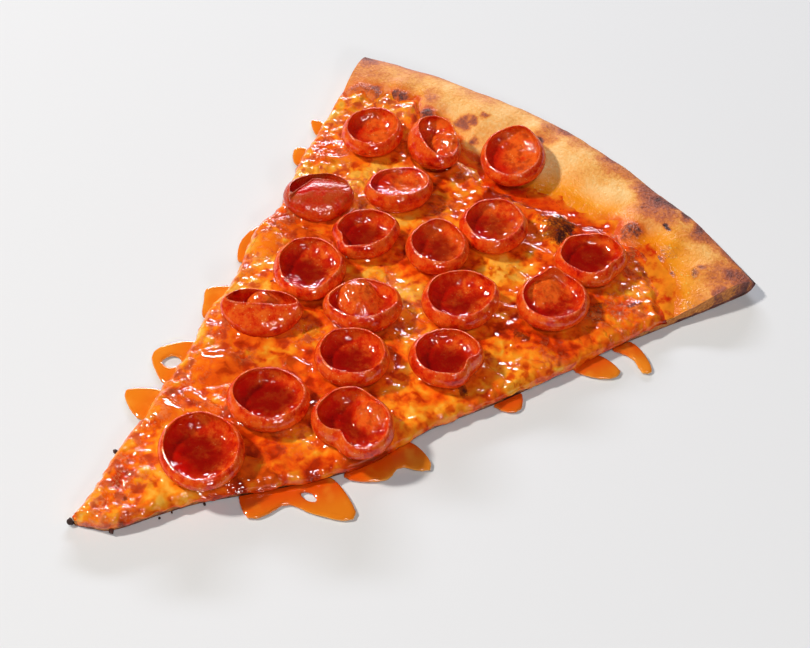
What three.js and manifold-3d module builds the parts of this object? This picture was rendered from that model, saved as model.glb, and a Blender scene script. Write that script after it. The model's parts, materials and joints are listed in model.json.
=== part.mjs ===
// A slice of thin crust pizza with pepperoni cups and honey, lying flat.
//
// Millimetres, +Z up. The slice is laid out from its tip, with +Y running to the crust, and the
// whole is then centred, so that the origin is under the middle of the finished part.
// Layers from below: dough with its raised rim, sauce, cheese, pepperoni cups. Honey that has
// run off the slice lies beside it in thin pools.

import * as THREE from 'three';
import { mergeVertices } from 'three/addons/utils/BufferGeometryUtils.js';
import Module from 'manifold-3d';

// ---------------------------------------------------------------- driving dimensions

// Plan. A station is a distance from the tip, measured along the middle of the slice.
const SLICE_LENGTH = 242.7;
const LEFT_CORNER_REACH = 240.6;
const RIGHT_CORNER_REACH = 247.0;
const HALF_ANGLE = THREE.MathUtils.degToRad(22.4);
const ARC_BULGE = 0.0761; // rise of each curved row over its chord, as a share of its radius

// Cut edges: [station, outward distance from the straight cut].
const LEFT_WANDER = [
  [0, -0.2], [8, -2.5], [15, -3.1], [28, -2.9], [58, -4.5], [71, -5.4], [94, -3.1], [106, -5.0],
  [120, -3.9], [137, -1.5], [151, -4.4], [165, -3.8], [178, -1.8], [200, -1.6], [226, -1.1], [250, -1.4],
];
const RIGHT_WANDER = [
  [0, 0.6], [4, 3.8], [10, 7.6], [26, 8.0], [38, 8.8], [50, 11.2], [65, 13.8], [78, 15.6],
  [92, 15.4], [100, 13.6], [113, 10.9], [135, 9.7], [150, 8.2], [165, 6.3], [180, 3.8],
  [200, 2.4], [226, 1.1], [250, -1.0],
];

// Crust edge: [share of the width from left to right, reach beyond the even arc].
const OUTER_WANDER = [
  [0, 2.8], [0.13, 2.2], [0.3, 1.6], [0.45, 1.2], [0.6, 0.5], [0.72, 0.1], [0.8, 0.8], [1, 0.6],
];

// Dough: a thin flat base and a broad low rim.
const TIP_STATION = 1.0;
const BASE_THICKNESS = 2.4;
const OUTER_EDGE_Z = 3.6; // height of the outermost line of the crust
const RIM_START = 190; // station where the base stops being flat
const RIM_PROFILE = [ // [distance in from the outer edge, share of the rim's height]
  [0, 0.07], [1.0, 0.42], [3.2, 0.78], [7, 0.97], [12, 1.0], [18, 0.84], [26, 0.48],
  [34, 0.19], [42, 0.04], [50, 0],
];
const RIM_HEIGHT = [ // [share of the width from left to right, height over the base]
  [0, 8.2], [0.12, 8.8], [0.3, 9.2], [0.45, 9.6], [0.6, 9.2], [0.75, 8.2], [0.9, 6.4], [1, 4.6],
];
const RIM_UNDERCUT = [ // [distance in from the outer edge, height of the underside]
  [0, 3.6], [1.0, 1.5], [2.6, 0.35], [4.6, 0],
];

// Sauce and cheese: thin sheets, each a hair above the one below.
const LAYER_GAP = 0.5;
const BUBBLE_SLACK = 0.2; // extra gap over a bubble, as a share of its height
const SAUCE_THICKNESS = 0.5;
const SAUCE_INSET = 0.8;
const SAUCE_START = 3.5;
const SAUCE_END = [ // [share of the width, station of the margin]
  [0, 222], [0.04, 226], [0.12, 227.5], [0.18, 225], [0.22, 223], [0.28, 217], [0.34, 212],
  [0.42, 211], [0.52, 211], [0.6, 214], [0.68, 216], [0.73, 219], [0.77, 223.5], [0.82, 222],
  [0.88, 218], [0.93, 217], [1, 210],
];
const CHEESE_THICKNESS = 1.9;
const CHEESE_EDGE_THICKNESS = 0.9;
const CHEESE_START = 2.6;
const CHEESE_END = [
  [0, 219], [0.05, 222], [0.12, 223], [0.18, 220.5], [0.22, 218.5], [0.28, 212], [0.34, 206],
  [0.42, 204], [0.52, 204], [0.6, 206.5], [0.68, 209], [0.77, 216], [0.88, 213], [1, 206],
];
const CHEESE_LIP = [ // [station, distance that the cheese hangs over the cut]
  [0, -0.4], [20, 0.7], [45, 0.3], [70, 0.9], [95, 0.4], [120, 1.0], [150, 0.5], [180, 0.8],
  [205, 0.2], [250, -0.3],
];
const CHEESE_RELIEF = 0.34;

// Bubbles blown in the dough under the sauce and cheese: [x, y, radius, height].
const DOUGH_BUBBLES = [
  [26, 200, 11.5, 2.5], [46, 218, 9, 1.8], [65, 211, 7, 0.6], [63, 220, 6, 0.8],
  [75, 209, 7, 0.6], [78, 218, 6, 0.8], [-49, 215.5, 8, 1.4], [-77, 208, 9, 0.7],
  [-65, 216, 7, 1.0], [-8, 233.5, 6, 1.0], [-33, 227, 9, 0.8],
];
// Blisters in the cheese alone: [x, y, radius, height].
const CHEESE_BLISTERS = [
  [70.5, 186, 6, 1.2], [62, 150, 7, 0.7], [-57, 168, 6, 0.8], [4, 138, 5, 0.6],
  [-10.5, 69.5, 10, 1.5], [41, 54, 6, 0.8], [-7, 46, 5, 0.7], [4, 22, 6, 0.9],
  [-48, 127, 5, 0.7], [56, 96, 6, 0.7], [30, 168, 5, 0.6], [68, 172, 5, 0.8],
];

// Facet sizes.
const DOUGH_CELL = 4.8;
const CHEESE_CELL = 4.6;
const SAUCE_CELL = 5.4;
const EDGE_STRIP = 2.0; // width of the outermost cells beside a cut

// Pepperoni: thin slices that have curled into cups. Directions are degrees from +X.
const CUP_SIDES = 16;
const CUP_CLEARANCE = 0.35;
const CUP_WALL = 1.5;
const CUP_FLOOR = 1.7;
const CUP_BELLY = 0.8; // how far the wall swells between foot and lip
const CUP_CURL = 0.75; // how far the lip curls back inwards
const CUP_RINGS = [ // [share of the height, inset from the outer wall, lift in floor heights]
  [0, 1.2, 0], [0.12, 0, 0], [0.55, -0.2, 0], [0.93, 0, 0], [1, CUP_WALL * 0.5, 0],
  [0.93, CUP_WALL, 0], [0.45, CUP_WALL * 1.2, 0], [0, CUP_WALL * 1.7, 1],
];
const DOME_RINGS = [0.55, 0.25]; // further rings over a folded floor, as shares of the floor's radius
const FOOT_SHARE = 0.84; // foot radius over lip radius
const SEAT_MARGIN = 2.5; // flat cheese left around each foot
// at: centre of the foot. radius, height: of the lip. oval, footOval: short over long width of
// the lip and of the foot, with pinch the direction of the short one. rise: [share, direction]
// of the extra height on one side. lean: sideways shift of the lip. dents: [direction, depth,
// half angle] of walls pushed inwards. crests: [direction, share, half angle] of peaks in the
// lip. dome: [direction, distance, along, across, height] of a wall that lies folded in the cup.
// floor: height of the middle of the bowl where it isn't CUP_FLOOR.
const CUPS = [
  { at: [-53.0, 188.6], radius: 11.2, height: 7.8, oval: 0.95, pinch: 10, rise: [0.06, 109],
    floor: 3.4 },
  { at: [-31.0, 198.2], radius: 12.4, height: 8.6, oval: 0.68, pinch: 60, rise: [0.16, 215],
    lean: [1.6, 1.4], dents: [[60, 0.6, 40]], dome: [45, 5.0, 7.2, 9.5, 8.0] },
  { at: [-4.9, 214.4], radius: 12.4, height: 8.0, oval: 0.9, pinch: 56, rise: [0.08, 110],
    crests: [[110, 0.16, 24]], floor: 3.8 },
  { at: [-24.8, 172.4], radius: 12.0, height: 7.4, oval: 0.84, pinch: 155, rise: [0.16, -40],
    floor: 4.2 },
  { at: [-42.3, 148.7], radius: 12.0, height: 7.9, oval: 0.72, footOval: 0.86, pinch: 126,
    rise: [0.06, -40], lean: [-0.8, 0.8], dents: [[-40, 6.4, 46]] },
  { at: [-17.0, 146.2], radius: 11.0, height: 7.8, oval: 0.88, pinch: 142, rise: [0.14, 74],
    dents: [[-118, 1.5, 22], [-76, -0.5, 20], [52, -0.6, 20]] },
  { at: [6.3, 158.9], radius: 11.4, height: 8.1, oval: 0.9, pinch: 23, rise: [0.05, 120],
    dents: [[73, 1.0, 30]], floor: 2.6 },
  { at: [13.0, 181.0], radius: 12.1, height: 7.8, oval: 0.95, pinch: 17, rise: [0.04, 133],
    dents: [[253, 1.0, 30]], floor: 2.8 },
  { at: [-18.0, 120.0], radius: 12.9, height: 7.6, oval: 0.9, pinch: 57, rise: [0.06, 136],
    dents: [[1, 1.0, 30]] },
  { at: [48.7, 191.5], radius: 11.9, height: 7.8, oval: 0.94, pinch: 163, rise: [0.07, 15],
    dents: [[4, 1.3, 22], [-83, 1.0, 30]] },
  { at: [6.6, 120.4], radius: 12.8, height: 7.9, oval: 0.86, pinch: 127, rise: [0.1, -20],
    dents: [[-95, 0.7, 22], [181, 1.0, 30]], dome: [158, 5.2, 10.5, 9.5, 7.4] },
  { at: [29.0, 144.6], radius: 12.6, height: 8.2, oval: 0.92, pinch: 151, rise: [0.04, 84],
    dents: [[66, -0.6, 20], [22, 0.5, 22]] },
  { at: [51.5, 166.8], radius: 12.5, height: 7.8, oval: 0.9, pinch: 6, rise: [0.04, 160],
    dents: [[150, 1.2, 22], [97, 1.0, 30]], crests: [[133, 0.26, 24]],
    dome: [165, 7.5, 9.5, 13.0, 6.2] },
  { at: [-15.6, 95.0], radius: 13.1, height: 8.4, oval: 0.34, footOval: 0.84, pinch: 129,
    rise: [0.04, -51], lean: [-1.6, 1.8] },
  { at: [20.8, 100.6], radius: 11.6, height: 8.1, oval: 0.93, pinch: 97, rise: [0.07, 94] },
  { at: [43.0, 121.8], radius: 11.6, height: 8.2, oval: 0.94, pinch: 125, rise: [0.08, 10],
    dents: [[8, 2.0, 24], [-32, -0.7, 24]], crests: [[10, 0.12, 22]] },
  { at: [14.1, 69.3], radius: 12.6, height: 7.9, oval: 0.9, pinch: 120, rise: [0.05, 186] },
  { at: [40.0, 80.6], radius: 12.8, height: 8.2, oval: 0.9, pinch: 87, rise: [0.07, 156],
    dents: [[-80, 3.2, 24], [-12, -0.8, 36], [96, 0.8, 24]], dome: [75, 9.0, 8.0, 8.0, 6.4] },
  { at: [14.0, 41.2], radius: 12.9, height: 7.0, oval: 0.9, pinch: 97, rise: [0.2, 128],
    dents: [[-50, -2.4, 50]] },
];

// Honey beside the slice: outlines from a few points, in order around each pool.
const HONEY_THICKNESS = 1.2;
const HONEY_EDGE = 0.9; // width of the rounded margin
const HONEY_CLEARANCE = 0.4;
const HONEY_POOLS = [
  { outline: [[-84.2, 187.0], [-79.4, 182.8], [-76.0, 181.5], [-74.0, 186.0], [-80.0, 189.2]] },
  { outline: [[-76.4, 170.6], [-73.0, 165.4], [-68.5, 163.5], [-66.0, 172.0], [-73.6, 173.4]] },
  { outline: [[-54.6, 124.0], [-52.6, 118.6], [-45.6, 112.0], [-42.0, 118.0], [-50.0, 133.0],
    [-54.6, 131.0]] },
  { outline: [[-44.4, 95.0], [-41.0, 91.0], [-34.6, 85.0], [-30.0, 92.0], [-36.0, 104.0],
    [-41.8, 99.8]] },
  { outline: [[-34.9, 66.0], [-34.4, 61.8], [-28.0, 57.8], [-20.0, 56.0], [-16.0, 64.0],
    [-25.0, 77.0], [-30.4, 74.4]],
    hole: [[-29.6, 62.0], [-25.6, 62.0], [-24.6, 66.6], [-28.8, 66.4]] },
  { outline: [[-28.6, 45.6], [-24.6, 42.4], [-15.0, 40.6], [-10.0, 46.0], [-19.0, 54.0],
    [-25.4, 50.2]] },
  { outline: [[28.0, 43.5], [33.0, 38.9], [38.0, 37.8], [40.8, 42.6], [42.2, 49.4], [50.0, 52.2],
    [59.4, 57.4], [61.0, 60.8], [56.0, 64.0], [43.6, 66.4], [34.0, 60.0]],
    hole: [[42.2, 55.4], [45.8, 55.0], [48.2, 56.6], [44.4, 57.6]] },
  { outline: [[47.4, 69.2], [53.0, 71.8], [58.2, 78.4], [57.4, 84.2], [62.4, 86.8],
    [65.2, 90.4], [62.4, 92.9], [52.0, 93.6], [42.0, 80.0]] },
  { outline: [[60.0, 124.2], [67.6, 124.9], [69.9, 128.6], [65.4, 134.8], [58.0, 136.0]] },
  { outline: [[70.0, 154.4], [78.4, 156.4], [83.6, 161.2], [83.6, 164.9], [72.0, 165.2]] },
  { outline: [[74.0, 170.8], [82.0, 172.4], [89.0, 169.5], [91.2, 171.8], [86.8, 175.8],
    [79.0, 178.4], [72.0, 176.0]] },
];

const FINISH = {
  dough: { color: 0xd9954f, roughness: 0.75, metalness: 0 },
  sauce: { color: 0xa5240c, roughness: 0.35, metalness: 0 },
  cheese: { color: 0xf39a2c, roughness: 0.3, metalness: 0 },
  pepperoni: { color: 0xb02a12, roughness: 0.28, metalness: 0 },
  honey: { color: 0xe07f14, roughness: 0.1, metalness: 0 },
};

// ---------------------------------------------------------------- small helpers

const clamp = THREE.MathUtils.clamp;
const toRad = THREE.MathUtils.degToRad;
const smooth = (low, high, value) => THREE.MathUtils.smoothstep(value, low, high);

/** A smooth function through [position, value] pairs, constant beyond both ends. */
function through(pairs) {
  const last = pairs.length - 1;
  return (position) => {
    if (position <= pairs[0][0]) return pairs[0][1];
    if (position >= pairs[last][0]) return pairs[last][1];
    const k = pairs.findIndex((pair) => pair[0] > position) - 1;
    const slope = (i) => {
      const [a, b] = [pairs[Math.max(i - 1, 0)], pairs[Math.min(i + 1, last)]];
      return (b[1] - a[1]) / (b[0] - a[0]);
    };
    const [[x0, y0], [x1, y1]] = [pairs[k], pairs[k + 1]];
    const span = x1 - x0;
    const t = (position - x0) / span;
    const rise0 = slope(k) * span;
    const rise1 = slope(k + 1) * span;
    return (2 * t ** 3 - 3 * t ** 2 + 1) * y0 + (t ** 3 - 2 * t ** 2 + t) * rise0
      + (3 * t ** 2 - 2 * t ** 3) * y1 + (t ** 3 - t ** 2) * rise1;
  };
}

/** Total height of a list of round bumps at a point. */
function bumps(list, x, y) {
  let total = 0;
  for (const [cx, cy, radius, height] of list) {
    const share = Math.hypot(x - cx, y - cy) / radius;
    if (share < 1) total += height * (1 - share ** 2) ** 2;
  }
  return total;
}

function finished(name, geometry, finish) {
  const mesh = new THREE.Mesh(geometry, new THREE.MeshStandardMaterial(FINISH[finish]));
  mesh.name = name;
  return mesh;
}

function geometryFrom(points, faces) {
  const geometry = new THREE.BufferGeometry();
  geometry.setAttribute('position', new THREE.Float32BufferAttribute(points.flat(), 3));
  geometry.setIndex(faces.flat());
  return geometry;
}

// ---------------------------------------------------------------- plan of the slice

const leftWander = through(LEFT_WANDER);
const rightWander = through(RIGHT_WANDER);
const outerWander = through(OUTER_WANDER);

/** The point of the plan at a station, a share of the way from the left cut to the right one. */
function planPoint(station, across, inset = 0) {
  const [sin, cos] = [Math.sin(HALF_ANGLE), Math.cos(HALF_ANGLE)];
  const leftReach = (station * LEFT_CORNER_REACH) / SLICE_LENGTH;
  const rightReach = (station * RIGHT_CORNER_REACH) / SLICE_LENGTH;
  const leftOut = leftWander(station) - inset;
  const rightOut = rightWander(station) - inset;
  const left = [-sin * leftReach - cos * leftOut, cos * leftReach - sin * leftOut];
  const right = [sin * rightReach + cos * rightOut, cos * rightReach - sin * rightOut];
  const bulge = 4 * across * (1 - across) * ARC_BULGE * station;
  const beyond = outerWander(across) * smooth(RIM_START, SLICE_LENGTH, station);
  return [
    left[0] + (right[0] - left[0]) * across,
    left[1] + (right[1] - left[1]) * across + bulge + beyond,
  ];
}

/** The station and the share of the width at a point of the plan. */
function planPlace(x, y) {
  let station = Math.hypot(x, y);
  let across = 0.5;
  for (let pass = 0; pass < 6; pass += 1) {
    const left = planPoint(station, 0);
    const right = planPoint(station, 1);
    across = clamp((x - left[0]) / (right[0] - left[0]), 0, 1);
    station += y - planPoint(station, across)[1];
  }
  return [station, across];
}

function rowWidth(station) {
  return planPoint(station, 1)[0] - planPoint(station, 0)[0];
}

/** Shares of the width for one row: a narrow cell at each cut, and even cells between. */
function rowShares(station, cell) {
  const width = rowWidth(station);
  const strip = Math.min(EDGE_STRIP / width, 0.25);
  const cells = Math.max(1, Math.round((width * (1 - 2 * strip)) / cell));
  const inner = Array.from({ length: cells + 1 }, (_, i) => strip + (i / cells) * (1 - 2 * strip));
  return [0, ...inner, 1];
}

// ---------------------------------------------------------------- heights of the layers

const rimProfile = through(RIM_PROFILE);
const rimHeight = through(RIM_HEIGHT);
const rimUndercut = through(RIM_UNDERCUT);
const cheeseEnd = through(CHEESE_END);
const sauceEnd = through(SAUCE_END);
const cheeseLip = through(CHEESE_LIP);

function doughBubbles(station, across) {
  const [x, y] = planPoint(station, across);
  return bumps(DOUGH_BUBBLES, x, y) * smooth(RIM_START, RIM_START + 8, station);
}

function doughTop(station, across) {
  const inward = SLICE_LENGTH - station;
  if (inward <= 0) return OUTER_EDGE_Z;
  const [x] = planPoint(station, across);
  const bubbles = doughBubbles(station, across);
  const ripple = 0.35 * Math.sin(x / 7.3 + 0.6) * smooth(3, 10, inward) * (1 - smooth(24, 40, inward));
  return BASE_THICKNESS + rimHeight(across) * rimProfile(inward) + bubbles + ripple;
}

/** The gap between two sheets, wider where they arch over a bubble. */
function layerGap(station, across) {
  return LAYER_GAP + BUBBLE_SLACK * doughBubbles(station, across);
}

const sauceBottom = (station, across) => doughTop(station, across) + layerGap(station, across);
const sauceTop = (station, across) => sauceBottom(station, across) + SAUCE_THICKNESS;
const cheeseBottom = (station, across) => sauceTop(station, across) + layerGap(station, across);

/** How freely the cheese swells at a point: 0 under and beside a cup, 1 in the open. */
function cheeseFreedom(x, y) {
  let freedom = 1;
  for (const cup of CUPS) {
    const foot = cup.radius * FOOT_SHARE + SEAT_MARGIN;
    const distance = Math.hypot(x - cup.at[0], y - cup.at[1]);
    freedom = Math.min(freedom, smooth(foot, foot + 3.5, distance));
  }
  return freedom;
}

function cheeseTop(station, across) {
  const [x, y] = planPoint(station, across);
  const waves = Math.sin(x / 4.1 + 0.7) * Math.cos(y / 4.9 - 0.4)
    + 0.6 * Math.sin((x + y) / 3.1 + 1.1) * Math.cos((x - y) / 5.7 + 0.3);
  const freedom = cheeseFreedom(x, y);
  const relief = freedom * (CHEESE_RELIEF * waves + bumps(CHEESE_BLISTERS, x, y));
  const fromCut = Math.min(across, 1 - across) * rowWidth(station);
  const fromEnd = cheeseEnd(across) - station;
  const body = Math.min(smooth(0, EDGE_STRIP, fromCut), smooth(0, 5, fromEnd));
  const thickness = CHEESE_EDGE_THICKNESS
    + (CHEESE_THICKNESS - CHEESE_EDGE_THICKNESS) * body + relief * body;
  return cheeseBottom(station, across) + thickness;
}

/** Height of whatever covers the slice at a point of the plan. */
function surfaceAt(x, y) {
  const [station, across] = planPlace(x, y);
  if (station < cheeseEnd(across)) return cheeseTop(station, across);
  if (station < sauceEnd(across)) return sauceTop(station, across);
  return doughTop(station, across);
}

// ---------------------------------------------------------------- layered sheets

/** Triangles between two rows with different numbers of points, facing up. */
function zip(near, far, faces) {
  let i = 0;
  let j = 0;
  while (i < near.length - 1 || j < far.length - 1) {
    const nearNext = near[i + 1];
    const farNext = far[j + 1];
    if (farNext === undefined || (nearNext !== undefined && nearNext.across <= farNext.across)) {
      faces.push([near[i].index, nearNext.index, far[j].index]);
      i += 1;
    } else {
      faces.push([near[i].index, farNext.index, far[j].index]);
      j += 1;
    }
  }
}

/** Triangles of a level region bounded by rows 0 to last, from its border points alone. */
function fillLevel(rows, last, points, faces) {
  const sides = rows.slice(1, last);
  const border = [
    ...rows[0],
    ...sides.map((row) => row[row.length - 1]),
    ...[...rows[last]].reverse(),
    ...sides.map((row) => row[0]).reverse(),
  ];
  const contour = border.map(({ index }) => new THREE.Vector2(points[index][0], points[index][1]));
  for (const face of THREE.ShapeUtils.triangulateShape(contour, [])) {
    faces.push(face.map((corner) => border[corner].index));
  }
}

/**
 * A closed sheet that covers the slice between two stations.
 * plan gives the rows' points, top and bottom their heights. Rows up to levelTop or levelBottom
 * are flat there and are filled without inner points. Where top and bottom meet in the last
 * row, they share its points.
 */
function sheet({ rows, place, top, bottom, levelTop = 0, levelBottom = 0 }) {
  const points = [];
  const lay = (height) => rows.map((row, k) => row.map(([station, across]) => {
    const [x, y] = place(station, across, k);
    points.push([x, y, height(station, across)]);
    return { index: points.length - 1, across };
  }));
  const upper = lay(top);
  const lower = lay(bottom);
  const end = rows.length - 1;
  upper[end].forEach((corner, i) => {
    const other = lower[end][i];
    if (points[corner.index][2] - points[other.index][2] < 1e-6) other.index = corner.index;
  });
  const faces = [];
  if (levelTop > 0) fillLevel(upper, levelTop, points, faces);
  for (let k = levelTop; k < end; k += 1) zip(upper[k], upper[k + 1], faces);
  const underside = [];
  if (levelBottom > 0) fillLevel(lower, levelBottom, points, underside);
  for (let k = levelBottom; k < end; k += 1) zip(lower[k], lower[k + 1], underside);
  underside.forEach(([a, b, c]) => faces.push([a, c, b]));

  const wall = (upperLine, lowerLine) => {
    for (let i = 0; i < upperLine.length - 1; i += 1) {
      const [a, b] = [upperLine[i].index, upperLine[i + 1].index];
      const [c, d] = [lowerLine[i].index, lowerLine[i + 1].index];
      if (a !== c) faces.push([a, b, c]);
      if (b !== d) faces.push([b, d, c]);
    }
  };
  const first = (lines) => lines.map((row) => row[0]);
  const lastOf = (lines) => lines.map((row) => row[row.length - 1]);
  wall(first(upper), first(lower));
  wall([...lastOf(upper)].reverse(), [...lastOf(lower)].reverse());
  wall([...upper[0]].reverse(), [...lower[0]].reverse());
  wall(upper[end], lower[end]);

  const used = [...new Set(faces.flat())];
  const renumbered = new Map(used.map((index, i) => [index, i]));
  return geometryFrom(
    used.map((index) => points[index]),
    faces.map((face) => face.map((index) => renumbered.get(index))),
  );
}

/** Rows of [station, across] from start to an uneven end, with the stations given as shares. */
function rowsTo(start, endAt, shares, cell) {
  return shares.map((share) => {
    const middle = start + (endAt(0.5) - start) * share;
    return rowShares(middle, cell).map((across) => [start + (endAt(across) - start) * share, across]);
  });
}

function evenShares(count) {
  return Array.from({ length: count + 1 }, (_, i) => i / count);
}

// ---------------------------------------------------------------- dough, sauce, cheese

function makeDough() {
  const flatRows = Math.round((RIM_START - TIP_STATION) / (DOUGH_CELL * 1.5));
  const flat = evenShares(flatRows).map((share) => TIP_STATION + (RIM_START - TIP_STATION) * share);
  const rim = [];
  for (let station = RIM_START + DOUGH_CELL; station < SLICE_LENGTH - 14; station += DOUGH_CELL) {
    rim.push(station);
  }
  for (const inward of [11, 7.4, 4.6, 2.6, 1.0, 0]) rim.push(SLICE_LENGTH - inward);
  const stations = [...flat, ...rim];
  const rows = stations.map((station) => {
    const shares = rowShares(station, station < RIM_START ? DOUGH_CELL * 2 : DOUGH_CELL);
    return shares.map((across) => [station, across]);
  });
  const lastFlat = flat.length - 1;
  const curled = stations.findIndex((station) => SLICE_LENGTH - station < 4.7);
  const geometry = sheet({
    rows,
    place: (station, across) => planPoint(station, across),
    top: doughTop,
    bottom: (station) => rimUndercut(SLICE_LENGTH - station),
    levelTop: lastFlat,
    levelBottom: curled,
  });
  return finished('dough', geometry, 'dough');
}

function makeSauce() {
  const length = sauceEnd(0.5) - SAUCE_START;
  const shares = evenShares(Math.round(length / SAUCE_CELL));
  const rows = rowsTo(SAUCE_START, sauceEnd, shares, SAUCE_CELL);
  const level = rows.findIndex((row) => Math.max(...row.map(([station]) => station)) > RIM_START) - 1;
  const geometry = sheet({
    rows,
    place: (station, across) => planPoint(station, across, SAUCE_INSET),
    top: sauceTop,
    bottom: sauceBottom,
    levelTop: level,
    levelBottom: level,
  });
  return finished('sauce', geometry, 'sauce');
}

function makeCheese() {
  const length = cheeseEnd(0.5) - CHEESE_START;
  const shares = evenShares(Math.round(length / CHEESE_CELL));
  const rows = rowsTo(CHEESE_START, cheeseEnd, shares, CHEESE_CELL);
  const level = rows.findIndex((row) => Math.max(...row.map(([station]) => station)) > RIM_START) - 1;
  const geometry = sheet({
    rows,
    place: (station, across) => planPoint(station, across, -cheeseLip(station)),
    top: cheeseTop,
    bottom: cheeseBottom,
    levelBottom: level,
  });
  return finished('cheese', geometry, 'cheese');
}

// ---------------------------------------------------------------- pepperoni cups

/** The total of local changes round a cup's wall in a direction. */
function swayed(places, angle) {
  let total = 0;
  for (const [direction, amount, halfAngle] of places ?? []) {
    const away = Math.atan2(Math.sin(angle - toRad(direction)), Math.cos(angle - toRad(direction)));
    total += amount * Math.exp(-((away / toRad(halfAngle)) ** 2));
  }
  return total;
}

/** Distance of the lip from the cup's axis in a direction, before the lean. */
function lipRadius(cup, angle) {
  const turned = angle - toRad(cup.pinch);
  const oval = Math.hypot(Math.cos(turned) / cup.oval, Math.sin(turned));
  return cup.radius / oval - swayed(cup.dents, angle);
}

function footRadius(cup, angle) {
  const turned = angle - toRad(cup.pinch);
  const footOval = cup.footOval ?? (cup.oval + 1) / 2;
  const oval = Math.hypot(Math.cos(turned) / footOval, Math.sin(turned));
  return (FOOT_SHARE * cup.radius) / oval - 0.35 * swayed(cup.dents, angle);
}

const floorHeight = (cup) => cup.floor ?? CUP_FLOOR;

/** A point of the cup's skin: share of the height, inset from the outer wall, lift. */
function skinPoint(cup, angle, [share, inset, lift]) {
  const [leanX, leanY] = cup.lean ?? [0, 0];
  const foot = footRadius(cup, angle);
  const flare = Math.sin((share * Math.PI) / 2);
  const swell = CUP_BELLY * Math.sin(share * Math.PI) - CUP_CURL * share ** 3;
  const radius = Math.max(foot + (lipRadius(cup, angle) - foot) * flare + swell - inset, 0.8);
  const climb = 1 + cup.rise[0] * Math.cos(angle - toRad(cup.rise[1]))
    + swayed(cup.crests, angle) * share;
  return [
    radius * Math.cos(angle) + leanX * share ** 2,
    radius * Math.sin(angle) + leanY * share ** 2,
    share * cup.height * climb + lift * floorHeight(cup),
  ];
}

/** Height of the wall that lies folded in a cup, at a point about its foot. */
function domeHeight(cup, x, y) {
  if (!cup.dome) return -Infinity;
  const [direction, distance, along, across, height] = cup.dome;
  const [cos, sin] = [Math.cos(toRad(direction)), Math.sin(toRad(direction))];
  const [u, v] = [x * cos + y * sin - distance, y * cos - x * sin];
  const floor = floorHeight(cup);
  return floor + (height - floor) * (1 - (u / along) ** 2 - (v / across) ** 2);
}

/** Rings of the cup's skin from under the foot, over the lip, to the middle of its floor. */
function cupGeometry(cup) {
  const angles = Array.from({ length: CUP_SIDES }, (_, i) => (i / CUP_SIDES) * 2 * Math.PI);
  const rings = CUP_RINGS.map((ring) => angles.map((angle) => skinPoint(cup, angle, ring)));
  const floor = rings[rings.length - 1];
  if (cup.dome) {
    DOME_RINGS.forEach((share) => rings.push(floor.map(([x, y, z]) => [x * share, y * share, z])));
  }
  const over = rings.slice(CUP_RINGS.length - 1).flat();
  const middle = [0, 0, floorHeight(cup) + 0.2];
  for (const point of [...over, middle]) {
    point[2] = Math.max(point[2], domeHeight(cup, point[0], point[1]));
  }
  const points = [[0, 0, 0], ...rings.flat(), middle];
  const faces = [];
  const corner = (ring, i) => 1 + ring * CUP_SIDES + (i % CUP_SIDES);
  for (let i = 0; i < CUP_SIDES; i += 1) {
    faces.push([0, corner(0, i + 1), corner(0, i)]);
    for (let ring = 0; ring < rings.length - 1; ring += 1) {
      faces.push([corner(ring, i), corner(ring, i + 1), corner(ring + 1, i)]);
      faces.push([corner(ring, i + 1), corner(ring + 1, i + 1), corner(ring + 1, i)]);
    }
    faces.push([points.length - 1, corner(rings.length - 1, i), corner(rings.length - 1, i + 1)]);
  }
  return geometryFrom(points, faces);
}

/** Sets a cup down on the slope under it, just clear of the cheese. */
function seat(mesh, cup) {
  const [x, y] = cup.at;
  const reach = cup.radius * FOOT_SHARE;
  const slopeX = (surfaceAt(x + reach, y) - surfaceAt(x - reach, y)) / (2 * reach);
  const slopeY = (surfaceAt(x, y + reach) - surfaceAt(x, y - reach)) / (2 * reach);
  let lift = -Infinity;
  for (let i = 0; i < 48; i += 1) {
    for (const share of [0, 0.4, 0.7, 0.9, 1.02]) {
      const dx = reach * share * Math.cos((i / 48) * 2 * Math.PI);
      const dy = reach * share * Math.sin((i / 48) * 2 * Math.PI);
      lift = Math.max(lift, surfaceAt(x + dx, y + dy) - slopeX * dx - slopeY * dy);
    }
  }
  const normal = new THREE.Vector3(-slopeX, -slopeY, 1).normalize();
  mesh.quaternion.setFromUnitVectors(new THREE.Vector3(0, 0, 1), normal);
  mesh.position.set(x, y, lift).addScaledVector(normal, CUP_CLEARANCE);
}

function makeCups() {
  return CUPS.map((cup, i) => {
    const mesh = finished(`pepperoni_${String(i + 1).padStart(2, '0')}`, cupGeometry(cup), 'pepperoni');
    seat(mesh, cup);
    return mesh;
  });
}

// ---------------------------------------------------------------- honey pools

const wasm = await Module();
wasm.setup();

function toSolid(geometry) {
  const bare = geometry.clone();
  bare.deleteAttribute('normal');
  bare.deleteAttribute('uv');
  const merged = mergeVertices(bare, 1e-4);
  return new wasm.Manifold(new wasm.Mesh({
    numProp: 3,
    vertProperties: new Float32Array(merged.attributes.position.array),
    triVerts: new Uint32Array(merged.index.array),
  }));
}

function fromSolid(solid) {
  const mesh = solid.getMesh();
  const geometry = new THREE.BufferGeometry();
  geometry.setAttribute('position', new THREE.BufferAttribute(mesh.vertProperties, 3));
  geometry.setIndex(new THREE.BufferAttribute(mesh.triVerts, 1));
  return geometry;
}

/** A closed smooth line through points of the plan. */
function roundLine(corners, steps) {
  const curve = new THREE.CatmullRomCurve3(corners.map(([x, y]) => new THREE.Vector3(x, y, 0)), true);
  return curve.getSpacedPoints(steps).slice(0, -1).map(({ x, y }) => new THREE.Vector2(x, y));
}

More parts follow.
